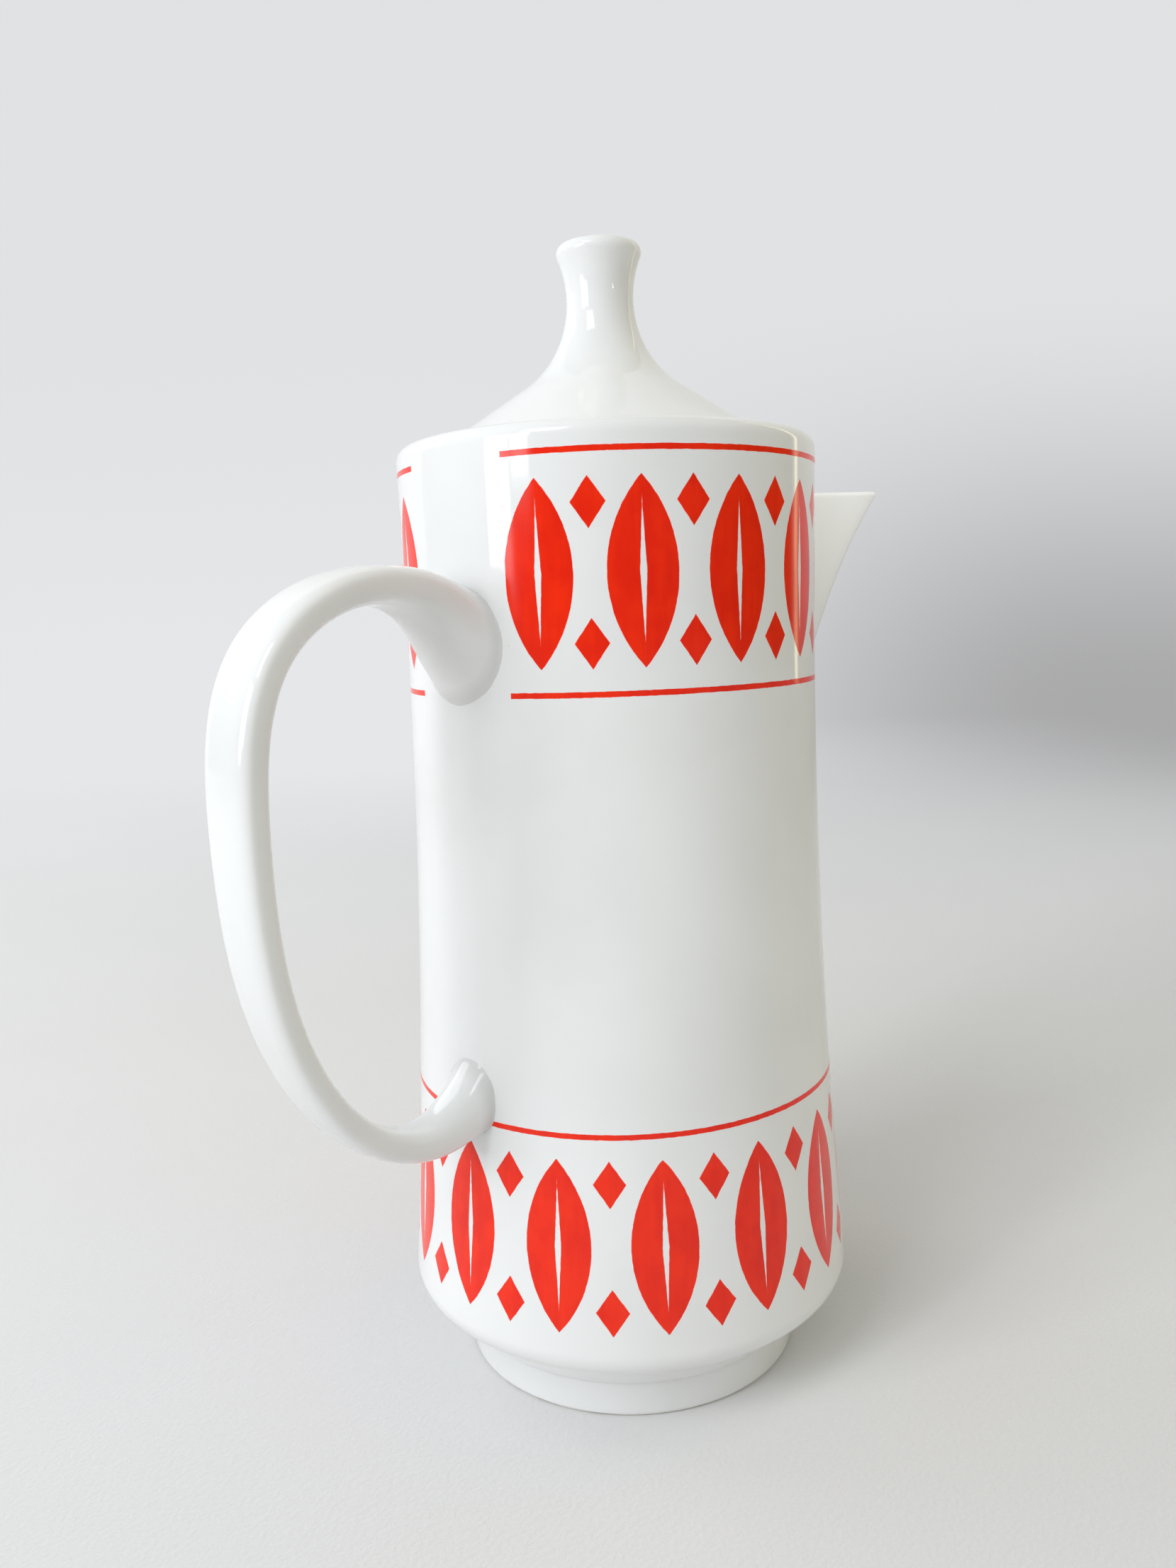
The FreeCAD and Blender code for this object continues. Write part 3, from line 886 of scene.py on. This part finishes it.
class Wiring:
    """Adds nodes to a node tree and joins their sockets."""

    def __init__(self, tree):
        self.tree = tree

    def feed(self, socket, value):
        if isinstance(value, bpy.types.NodeSocket):
            self.tree.links.new(value, socket)
        else:
            socket.default_value = value

    def add(self, kind, inputs=None, **options):
        node = self.tree.nodes.new(kind)
        for name, value in options.items():
            setattr(node, name, value)
        for name, value in (inputs or {}).items():
            self.feed(node.inputs[name], value)
        return node

    def math(self, operation, *values):
        node = self.add("ShaderNodeMath", operation=operation)
        for socket, value in zip(node.inputs, values):
            self.feed(socket, value)
        return node.outputs[0]

    def most(self, first, *others):
        for other in others:
            first = self.math("MAXIMUM", first, other)
        return first

    def ramp(self, value, low, high):
        """0 below low, 1 above high, and a smooth step between."""
        node = self.add("ShaderNodeMapRange", interpolation_type="SMOOTHSTEP")
        self.feed(node.inputs["Value"], value)
        self.feed(node.inputs["From Min"], low)
        self.feed(node.inputs["From Max"], high)
        return node.outputs["Result"]

    def mix(self, kind, sockets, values, result):
        """A Mix node, with its sockets by number because their names repeat."""
        node = self.add("ShaderNodeMix", data_type=kind)
        for number, value in zip(sockets, values):
            self.feed(node.inputs[number], value)
        return node.outputs[result]

    def blend(self, factor, first, second):
        """Colour between two colours."""
        return self.mix("RGBA", (0, 6, 7), (factor, first, second), 2)

    def between(self, factor, first, second):
        """Number between two numbers."""
        return self.mix("FLOAT", (0, 2, 3), (factor, first, second), 0)

    def rest(self, part):
        """What a share leaves of 1."""
        return self.math("SUBTRACT", 1.0, part)

    def half(self, value):
        return self.math("MULTIPLY", value, 0.5)

    def least(self, first, *others):
        for other in others:
            first = self.math("MINIMUM", first, other)
        return first

    def dot(self, where, way):
        """How far a place lies in a direction."""
        node = self.add("ShaderNodeVectorMath", operation="DOT_PRODUCT")
        self.feed(node.inputs[0], where)
        node.inputs[1].default_value = way
        return node.outputs["Value"]

    def place(self):
        """Object coordinates, and their parts."""
        where = self.add("ShaderNodeTexCoord").outputs["Object"]
        parts = self.add("ShaderNodeSeparateXYZ", {"Vector": where})
        return where, parts.outputs["X"], parts.outputs["Y"], parts.outputs["Z"]

    def squares(self, x, y):
        return self.math("ADD", self.math("MULTIPLY", x, x), self.math("MULTIPLY", y, y))

    def from_axis(self, x, y):
        return self.math("SQRT", self.squares(x, y))

    def noise(self, where, scale, detail):
        """Clouds from 0 to 1, so many to the metre."""
        node = self.add("ShaderNodeTexNoise", {"Vector": where, "Scale": scale, "Detail": detail})
        return node.outputs["Fac"]

    def waver(self, where, scale, width):
        """A small distance to either side, for an edge that isn't quite even."""
        return self.math("MULTIPLY", self.math("SUBTRACT", self.noise(where, scale, 2.0), 0.5), width)


def new_group(name, inputs, outputs):
    """A shader node group: its wiring, its input sockets by name, and a way to set its outputs."""
    tree = bpy.data.node_groups.new(name, "ShaderNodeTree")
    for title, kind, default in inputs:
        socket = tree.interface.new_socket(name=title, in_out="INPUT", socket_type="NodeSocket" + kind)
        socket.default_value = default
    for title, kind in outputs:
        tree.interface.new_socket(name=title, in_out="OUTPUT", socket_type="NodeSocket" + kind)
    wiring = Wiring(tree)
    return wiring, wiring.add("NodeGroupInput").outputs, wiring.add("NodeGroupOutput").inputs


def place_group(wiring, tree, inputs):
    """A node group placed in a material with its own values: its outputs."""
    node = wiring.add("ShaderNodeGroup", node_tree=tree)
    for name, value in inputs.items():
        wiring.feed(node.inputs[name], value)
    return node.outputs


def built_once(build):
    """Make a node group at the first call of its function, and give the same one at the next."""
    name = build.__name__

    def group():
        if name not in bpy.data.node_groups:
            build(name)
        return bpy.data.node_groups[name]

    return group


@built_once
def glaze_skin(name):
    """White glaze: faint clouds where it lies thick, painted shade where a given mask says, slow waves that
    bend reflections, and rare specks.
    """
    white = (0.8, 0.8, 0.8, 1.0)
    wiring, given, made = new_group(name, (
        ("Thin", "Color", white),
        ("Pooled", "Color", white),
        ("Speck", "Color", (0.1, 0.1, 0.1, 1.0)),
        ("Specks", "Float", 0.02),
        ("Roughness", "Float", 0.07),
        ("Pool", "Float", 0.0),
    ), (("Color", "Color"), ("Roughness", "Float"), ("Height", "Float")))
    where = wiring.place()[0]
    clouds = wiring.ramp(wiring.noise(where, 26.0, 3.0), 0.38, 0.72)
    # The given mask adds painted shade, with thick glaze, along a join
    thick = wiring.most(wiring.math("MULTIPLY", clouds, 0.32), given["Pool"])
    skin = wiring.blend(thick, given["Thin"], given["Pooled"])
    cells = wiring.add("ShaderNodeTexVoronoi", {"Vector": where, "Scale": 110.0})
    chance = wiring.add("ShaderNodeSeparateColor", {"Color": cells.outputs["Color"]}).outputs["Red"]
    rare = wiring.math("LESS_THAN", chance, given["Specks"])
    speck = wiring.rest(wiring.ramp(cells.outputs["Distance"], 0.018, 0.045))
    wiring.feed(made["Color"], wiring.blend(wiring.math("MULTIPLY", rare, speck), skin, given["Speck"]))
    fine = wiring.noise(where, 900.0, 2.0)
    rough = wiring.math("MULTIPLY", given["Roughness"], wiring.between(fine, 0.75, 1.25))
    wiring.feed(made["Roughness"], rough)
    waves = wiring.noise(where, 48.0, 1.0)
    peel = wiring.math("MULTIPLY", wiring.noise(where, 420.0, 1.0), 0.045)
    wiring.feed(made["Height"], wiring.math("ADD", waves, peel))


@built_once
def bare_clay(name):
    """Unglazed fired clay: a fine dry grain with a few darker rubbed places."""
    wiring, given, made = new_group(
        name, (("Clay", "Color", (0.7, 0.66, 0.6, 1.0)),), (("Color", "Color"), ("Height", "Float")))
    where = wiring.place()[0]
    grain = wiring.noise(where, 2600.0, 3.0)
    rubbed = wiring.ramp(wiring.noise(where, 130.0, 4.0), 0.52, 0.7)
    shade = wiring.between(wiring.math("ADD", wiring.math("MULTIPLY", grain, 0.4), rubbed), 1.08, 0.7)
    tone = wiring.add("ShaderNodeVectorMath", operation="SCALE")
    wiring.feed(tone.inputs[0], given["Clay"])
    wiring.feed(tone.inputs["Scale"], shade)
    wiring.feed(made["Color"], tone.outputs[0])
    wiring.feed(made["Height"], grain)


@built_once
def fired_paint(name):
    """Screened paint fired on the glaze: faint upright streaks and thicker, deeper places."""
    red = (0.8, 0.03, 0.01, 1.0)
    wiring, given, made = new_group(name, (
        ("Paint", "Color", red),
        ("Deep", "Color", red),
        ("Roughness", "Float", 0.13),
    ), (("Color", "Color"), ("Roughness", "Float")))
    where = wiring.place()[0]
    upright = wiring.add("ShaderNodeMapping", {"Vector": where, "Scale": (1.0, 1.0, 0.12)}).outputs[0]
    streaks = wiring.noise(upright, 620.0, 2.0)
    patches = wiring.noise(where, 150.0, 2.0)
    depth = wiring.ramp(wiring.math("ADD", wiring.math("MULTIPLY", streaks, 0.6), patches), 0.55, 1.05)
    wiring.feed(made["Color"], wiring.blend(depth, given["Paint"], given["Deep"]))
    rough = wiring.math("MULTIPLY", given["Roughness"], wiring.between(streaks, 0.7, 1.3))
    wiring.feed(made["Roughness"], rough)


# Sizes that both friezes share, and those that each has for itself
FRIEZE_SIZES = (
    "Leaves", "Leaf Length", "Leaf Width", "Rib Length", "Rib Width", "Diamond Length", "Diamond Width",
    "Diamond Offset", "Line Offset", "Line Width")
FRIEZE_PLACE = ("Height", "Wall Radius", "Inner Radius", "Line Below", "From", "To")


@built_once
def leaf_frieze(name):
    """Mask of a frieze round the wall: upright ribbed leaves, diamonds between their tips, and lines."""
    inputs = [(title, "Float", 0.0) for title in FRIEZE_SIZES + FRIEZE_PLACE]
    wiring, given, made = new_group(name, inputs, (("Mask", "Float"),))
    m = wiring.math
    where, x, y, z = wiring.place()
    heading = m("ARCTAN2", y, x)
    steps = m("MULTIPLY", m("ADD", m("DIVIDE", heading, 2 * math.pi), 0.5), given["Leaves"])
    pitch = m("DIVIDE", m("MULTIPLY", given["Wall Radius"], 2 * math.pi), given["Leaves"])
    aside = m("ABSOLUTE", m("MULTIPLY", m("SUBTRACT", steps, m("ROUND", steps)), pitch))
    gap_aside = m("SUBTRACT", wiring.half(pitch), aside)
    rise = m("SUBTRACT", z, given["Height"])
    up = m("ABSOLUTE", rise)

    half_width = wiring.half(given["Leaf Width"])
    bow = m("DIVIDE", wiring.squares(wiring.half(given["Leaf Length"]), half_width), given["Leaf Width"])
    off = m("ADD", aside, m("SUBTRACT", bow, half_width))
    leaf = m("SUBTRACT", bow, wiring.from_axis(off, up))
    taper = wiring.rest(m("DIVIDE", up, wiring.half(given["Rib Length"])))
    rib = m("SUBTRACT", aside, m("MULTIPLY", wiring.half(given["Rib Width"]), taper))

    half_wide = wiring.half(given["Diamond Width"])
    off_middle = m("ABSOLUTE", m("SUBTRACT", up, given["Diamond Offset"]))
    tall = m("DIVIDE", off_middle, wiring.half(given["Diamond Length"]))
    wide = m("DIVIDE", gap_aside, half_wide)
    flank_slope = 0.8
    diamond = m("MULTIPLY", wiring.rest(m("ADD", tall, wide)), m("MULTIPLY", half_wide, flank_slope))

    off_line = m("ABSOLUTE", m("SUBTRACT", up, given["Line Offset"]))
    line = m("SUBTRACT", wiring.half(given["Line Width"]), off_line)
    no_line = m("MULTIPLY", m("LESS_THAN", rise, 0.0), wiring.rest(given["Line Below"]))
    line = m("SUBTRACT", line, no_line)

    turned = m("ABSOLUTE", heading)
    ends = wiring.least(m("SUBTRACT", turned, given["From"]), m("SUBTRACT", given["To"], turned))
    outside = m("SUBTRACT", wiring.from_axis(x, y), given["Inner Radius"])
    drawn = wiring.most(wiring.least(leaf, rib), diamond, line)
    drawn = wiring.least(drawn, m("MULTIPLY", ends, given["Wall Radius"]), outside)
    soft = 0.00007
    wiring.feed(made["Mask"], wiring.ramp(m("ADD", drawn, wiring.waver(where, 700.0, 0.00022)), -soft, soft))


@built_once
def wall_gap(name):
    """Mask that is 1 on the wall's surface and fades to 0 a given way off it."""
    wiring, given, made = new_group(name, (
        ("Sweep", "Float", 1.0),
        ("Sweep Centre", "Float", 1.0),
        ("Waist Height", "Float", 0.1),
        ("Fade", "Float", 0.002),
    ), (("Mask", "Float"),))
    m = wiring.math
    _, x, y, z = wiring.place()
    rise = m("SUBTRACT", z, given["Waist Height"])
    inside = m("SUBTRACT", m("MULTIPLY", given["Sweep"], given["Sweep"]), m("MULTIPLY", rise, rise))
    wall = m("SUBTRACT", given["Sweep Centre"], m("SQRT", inside))
    gap = m("SUBTRACT", wiring.from_axis(x, y), wall)
    wiring.feed(made["Mask"], wiring.rest(wiring.ramp(gap, 0.0, given["Fade"])))


def new_material(name):
    """A material with a Principled surface: its wiring and the surface's sockets."""
    material = bpy.data.materials.new(name)
    material.use_nodes = True
    wiring = Wiring(material.node_tree)
    surface = material.node_tree.nodes["Principled BSDF"]
    surface.inputs["IOR"].default_value = settings("finish").index
    return material, wiring, surface.inputs


def skin_outputs(wiring, specks, pool_and_shade):
    """The glaze, with a share of specks and a mask of the places where it lies thick."""
    finish = settings("finish")
    return place_group(wiring, glaze_skin(), {
        "Thin": finish.glaze, "Pooled": finish.pooled, "Speck": finish.speck,
        "Specks": specks, "Roughness": finish.gloss, "Pool": pool_and_shade})


def bump(wiring, surface, height, distance):
    """Relief of a surface, a distance high."""
    node = wiring.add("ShaderNodeBump", {"Height": height, "Distance": distance, "Strength": 1.0})
    wiring.feed(surface["Normal"], node.outputs["Normal"])


def plain_glaze(name):
    """Glaze of a piece that is luted to the wall, with painted shade along the join, where the glaze also
    lies thick.
    """
    finish = settings("finish")
    wall = Wall(settings("body"))
    material, wiring, surface = new_material(name)
    # Painted shade: the glaze darkens near the wall, where the join lies in shade
    join = place_group(wiring, wall_gap(), {
        "Sweep": wall.sweep, "Sweep Centre": wall.centre.x, "Waist Height": wall.centre.y,
        "Fade": finish.pool_reach})
    skin = skin_outputs(wiring, 0.0, join["Mask"])
    wiring.feed(surface["Base Color"], skin["Color"])
    wiring.feed(surface["Roughness"], skin["Roughness"])
    bump(wiring, surface, skin["Height"], finish.relief)
    return material


def clay_over_glaze(wiring, surface, skin_colour, skin_rough, skin_height, mask):
    """Bare clay where the mask says, and the skin elsewhere."""
    finish = settings("finish")
    clay = place_group(wiring, bare_clay(), {"Clay": finish.clay})
    wiring.feed(surface["Base Color"], wiring.blend(mask, skin_colour, clay["Color"]))
    wiring.feed(surface["Roughness"], wiring.between(mask, skin_rough, finish.clay_gloss))
    bump(wiring, surface, wiring.between(mask, skin_height, clay["Height"]), finish.relief)


def band_mask(wiring, low, high, inner, outer):
    """Mask of a level band between two heights and two radii, with a wavering edge."""
    m = wiring.math
    where, x, y, z = wiring.place()
    radius = wiring.from_axis(x, y)
    edge = wiring.least(
        m("SUBTRACT", z, low), m("SUBTRACT", high, z),
        m("SUBTRACT", radius, inner), m("SUBTRACT", outer, radius))
    fade = 0.00015
    return wiring.ramp(m("ADD", edge, wiring.waver(where, 160.0, 0.0007)), 0.0, fade)


def ledge_mask(wiring, wall, below, above, inwards, outwards):
    """Mask of the ledge that the lid sits on, and so far to each side of it."""
    return band_mask(
        wiring, wall.seat_height - below, wall.seat_height + above,
        wall.throat_radius - inwards, wall.seat_radius + outwards)


def painted_glaze(sizes, wall):
    """The body's finish: glaze, two painted friezes, bare clay under the foot and on the lid's ledge."""
    finish = settings("finish")
    frieze = settings("frieze")
    material, wiring, surface = new_material("body_glaze")
    shared = {title: float(getattr(frieze, title.lower().replace(" ", "_"))) for title in FRIEZE_SIZES}
    upper = frieze.upper_height, 1.0, frieze.spout_gap, math.pi - frieze.handle_gap
    lower = frieze.lower_height, 0.0, -math.pi, 2 * math.pi
    masks = []
    for height, line_below, start, end in (upper, lower):
        radius = wall.radius(height)
        own = dict(zip(FRIEZE_PLACE, (height, radius, radius - sizes.wall / 2, line_below, start, end)))
        masks.append(place_group(wiring, leaf_frieze(), {**shared, **own})["Mask"])
    mask = wiring.most(*masks)
    skin = skin_outputs(wiring, finish.body_specks, 0.0)
    paint = place_group(wiring, fired_paint(), {
        "Paint": finish.paint, "Deep": finish.paint_deep, "Roughness": finish.paint_gloss})
    skin_colour = wiring.blend(mask, skin["Color"], paint["Color"])
    skin_rough = wiring.between(mask, skin["Roughness"], paint["Roughness"])
    skin_height = wiring.math("ADD", skin["Height"], wiring.math("MULTIPLY", mask, finish.paint_relief))
    under = sizes.foot_round / 2
    foot = band_mask(wiring, -sizes.foot_height, under, wall.foot_inner - under, wall.foot_radius + under)
    ledge = ledge_mask(wiring, wall, below=0.0005, above=0.0006, inwards=-0.0002, outwards=0.001)
    clay_over_glaze(wiring, surface, skin_colour, skin_rough, skin_height, wiring.most(foot, ledge))
    return material


def lid_glaze(wall):
    """The lid's finish: glaze with a few specks, and bare clay where it sits on the ledge."""
    material, wiring, surface = new_material("lid_glaze")
    skin = skin_outputs(wiring, settings("finish").lid_specks, 0.0)
    seat = ledge_mask(wiring, wall, below=0.0015, above=0.0008, inwards=0.0001, outwards=0.001)
    clay_over_glaze(wiring, surface, skin["Color"], skin["Roughness"], skin["Height"], seat)
    return material


def seen_ray(wiring):
    """1 for rays that show the surface to the camera, straight or by way of gloss or glass."""
    path = wiring.add("ShaderNodeLightPath").outputs
    return wiring.most(path["Is Camera Ray"], path["Is Glossy Ray"], path["Is Transmission Ray"])


def sheet_of_paper(stage, forward):
    """A pale sheet that lies under the pot and is folded up behind it, shaded smoothly over the fold."""
    bpy.ops.object.select_all(action="DESELECT")
    bpy.ops.mesh.primitive_plane_add(size=stage.sheet_width, location=(0.0, 0.0, 0.0))
    sheet = bpy.context.object
    sheet.name = "paper_sheet"
    bpy.ops.object.mode_set(mode="EDIT")
    select_vertices(sheet, lambda vertex: vertex.co.x > 0)
    bpy.ops.transform.translate(value=(stage.sheet_reach - stage.sheet_width / 2, 0.0, 0.0))
    bpy.ops.mesh.extrude_region_move(TRANSFORM_OT_translate={"value": (0.0, 0.0, stage.sheet_rise)})
    merge_and_face_out(SAME_PLACE)
    bpy.ops.object.shade_smooth()
    sheet.rotation_euler.z = math.atan2(forward.y, forward.x)
    bpy.ops.object.transform_apply(location=True, rotation=True, scale=True)
    sheet.data.materials.append(pale_paper(stage, forward))


def pale_paper(stage, forward):
    """Paper with a faint mottle and grain; behind the pot, what is seen of it is a glow of given tones with
    painted shade.
    """
    material, wiring, surface = new_material("pale_paper")
    m = wiring.math
    where, _, _, z = wiring.place()
    tones = [tuple(part * shade for part in stage.paper_lit[:3]) + (1.0,) for shade in (0.97, 1.03)]
    wiring.feed(surface["Base Color"], wiring.blend(wiring.noise(where, 7.0, 4.0), *tones))
    surface["Roughness"].default_value = 0.75
    surface["Specular IOR Level"].default_value = 0.2
    bump(wiring, surface, wiring.noise(where, 900.0, 2.0), 0.00012)
    ahead = wiring.dot(where, forward)
    aside = wiring.dot(where, Vector((-forward.y, forward.x, 0.0)))
    # Painted shade in the glow: darker low down behind the pot, and away from the window
    rise = wiring.ramp(z, 0.0, 0.6)
    shade = m("MULTIPLY", wiring.ramp(ahead, -0.2, 0.9), wiring.rest(rise))
    shade = m("MULTIPLY", shade, wiring.rest(wiring.ramp(aside, -0.7, 0.2)))
    sweep = wiring.blend(rise, stage.paper_low, stage.paper)
    glow = wiring.add("ShaderNodeEmission", {"Color": wiring.blend(shade, sweep, stage.paper_shade)})
    far = wiring.ramp(ahead, 0.2, 1.15)
    mixed = wiring.add("ShaderNodeMixShader", {"Fac": m("MULTIPLY", seen_ray(wiring), far)})
    nodes = material.node_tree.nodes
    wiring.feed(mixed.inputs[1], nodes["Principled BSDF"].outputs[0])
    wiring.feed(mixed.inputs[2], glow.outputs[0])
    wiring.feed(nodes["Material Output"].inputs["Surface"], mixed.outputs[0])
    return material


def add_lamp(name, heading, distance, height, aim, size, power, tint, spread=math.pi):
    """A soft rectangular lamp on a heading from the pot, turned to the place that it is aimed at."""
    place = Vector((math.cos(heading) * distance, math.sin(heading) * distance, height))
    way = Vector(aim) - place
    bpy.ops.object.light_add(type="AREA", location=place, rotation=way.to_track_quat("-Z", "Y").to_euler())
    lamp = bpy.context.object
    lamp.name = name
    lamp.data.shape = "RECTANGLE"
    lamp.data.size, lamp.data.size_y = size
    lamp.data.spread = spread
    lamp.data.energy = power
    lamp.data.color = tint[:3]
    lamp.visible_camera = False


def room_light(stage, ahead):
    """Light from all round, stronger from above and warmer from the right."""
    world = bpy.data.worlds.new("room")
    world.use_nodes = True
    bpy.context.scene.world = world
    wiring = Wiring(world.node_tree)
    background = world.node_tree.nodes["Background"]
    way = wiring.add("ShaderNodeTexCoord").outputs["Generated"]
    # The window is to the left, and nearer to the camera than the pot
    left = Vector((-math.sin(ahead), math.cos(ahead), 0.0))
    cool = left * 0.8 - Vector((math.cos(ahead), math.sin(ahead), 0.0)) * 0.6
    tint = wiring.blend(wiring.ramp(wiring.dot(way, cool), -0.9, 0.1), stage.room_warm, stage.room_cool)
    up = wiring.dot(way, Vector((0.0, 0.0, 1.0)))
    level = wiring.math("MULTIPLY_ADD", up, stage.room_slope, stage.room_level)
    path = wiring.add("ShaderNodeLightPath").outputs
    level = wiring.math("MULTIPLY", level, wiring.between(path["Is Glossy Ray"], 1.0, stage.room_gloss))
    seen = path["Is Camera Ray"]
    wiring.feed(background.inputs["Color"], wiring.blend(seen, tint, stage.paper))
    wiring.feed(background.inputs["Strength"], wiring.between(seen, level, 1.0))


def add_camera(stage):
    """A camera on the photograph's line of sight."""
    turn = Matrix.Rotation(stage.heading - math.pi / 2, 3, "Z")
    level_way = Vector((math.sin(stage.yaw), math.cos(stage.yaw), 0.0))
    forward = level_way * math.cos(stage.pitch) - Vector((0.0, 0.0, math.sin(stage.pitch)))
    right = Vector((math.cos(stage.yaw), -math.sin(stage.yaw), 0.0))
    up = right.cross(forward)
    level_right = right * math.cos(stage.roll) + up * math.sin(stage.roll)
    level_up = up * math.cos(stage.roll) - right * math.sin(stage.roll)
    frame_axes = Matrix((level_right, level_up, -forward)).transposed()
    place = turn @ Vector((0.0, -stage.distance, stage.height))
    bpy.ops.object.camera_add(location=place, rotation=(turn @ frame_axes).to_euler())
    camera = bpy.context.object
    camera.name = "camera"
    camera.data.sensor_width = 36.0
    camera.data.lens = stage.lens
    camera.data.clip_start = 0.01
    bpy.context.scene.camera = camera
    return turn @ forward


TALL_PANE = (0.27, 0.58)
SHORT_PANE = (0.19, 0.48)
POT_MIDDLE = (0.0, 0.0, 0.12)
# Each lamp's name, degrees to the left of the line of sight, distance, height, aim and size
LAMPS = (
    ("left_light", 62, 1.1, 0.75, POT_MIDDLE, (0.8, 0.6)),
    ("tall_pane", 121.3, 1.1, 0.465, (0.0, 0.0, 0.465), TALL_PANE),
    ("short_pane", 134.5, 1.1, 0.5, (0.0, 0.0, 0.5), SHORT_PANE),
    ("upper_light", 143, 1.0, 1.05, POT_MIDDLE, (0.45, 0.45)),
    ("spout_light", -133, 0.55, 0.3, (0.075, -0.01, 0.225), (0.05, 0.05)),
    ("right_strip", -65, 0.34, 0.36, (0.0, 0.0, 0.36), (0.02, 0.46)),
)


class COFFEE_POT_OT_stage(bpy.types.Operator):
    """Lay the paper, hang the lamps and set up the camera"""

    bl_idname = "coffee_pot.stage"
    bl_label = "Stage"

    def execute(self, context):
        stage = settings("stage")
        forward = add_camera(stage)
        ahead = math.atan2(forward.y, forward.x)
        sheet_of_paper(stage, forward)
        room_light(stage, ahead)
        powers = {
            "left_light": (stage.window_power, stage.window),
            "tall_pane": (stage.pane_power * TALL_PANE[0] * TALL_PANE[1], stage.window),
            "short_pane": (stage.pane_power * SHORT_PANE[0] * SHORT_PANE[1], stage.window),
            "upper_light": (stage.upper_power, stage.window),
            "spout_light": (stage.spout_power, stage.room_cool, stage.spout_spread),
            "right_strip": (stage.strip_power, stage.room_warm),
        }
        for name, degrees, distance, height, aim, size in LAMPS:
            add_lamp(name, ahead + math.radians(degrees), distance, height, aim, size, *powers[name])
        context.scene.view_settings.view_transform = "Standard"
        return {"FINISHED"}


class COFFEE_POT_PT_panel(bpy.types.Panel):
    """Sizes, colours and buttons of the coffee pot"""

    bl_idname = "COFFEE_POT_PT_panel"
    bl_label = "Coffee Pot"
    bl_space_type = "VIEW_3D"
    bl_region_type = "UI"
    bl_category = "Coffee Pot"

    def draw(self, context):
        for operator in OPERATORS:
            self.layout.operator(operator.bl_idname)
        for name, group in SETTINGS:
            box = self.layout.box()
            box.label(text=name.capitalize())
            for title in group.__annotations__:
                box.prop(settings(name), title)


OPERATORS = (
    COFFEE_POT_OT_body,
    COFFEE_POT_OT_spout,
    COFFEE_POT_OT_handle,
    COFFEE_POT_OT_lid,
    COFFEE_POT_OT_stage,
)


def register():
    for name, group in SETTINGS:
        bpy.utils.register_class(group)
        setattr(bpy.types.Scene, "coffee_pot_" + name, bpy.props.PointerProperty(type=group))
    for operator in OPERATORS:
        bpy.utils.register_class(operator)
    bpy.utils.register_class(COFFEE_POT_PT_panel)


def unregister():
    bpy.utils.unregister_class(COFFEE_POT_PT_panel)
    for operator in reversed(OPERATORS):
        bpy.utils.unregister_class(operator)
    for name, group in reversed(SETTINGS):
        delattr(bpy.types.Scene, "coffee_pot_" + name)
        bpy.utils.unregister_class(group)


def main():
    register()
    bpy.ops.coffee_pot.body()
    bpy.ops.coffee_pot.spout()
    bpy.ops.coffee_pot.handle()
    bpy.ops.coffee_pot.lid()
    bpy.ops.coffee_pot.stage()


if __name__ == "__main__":
    main()
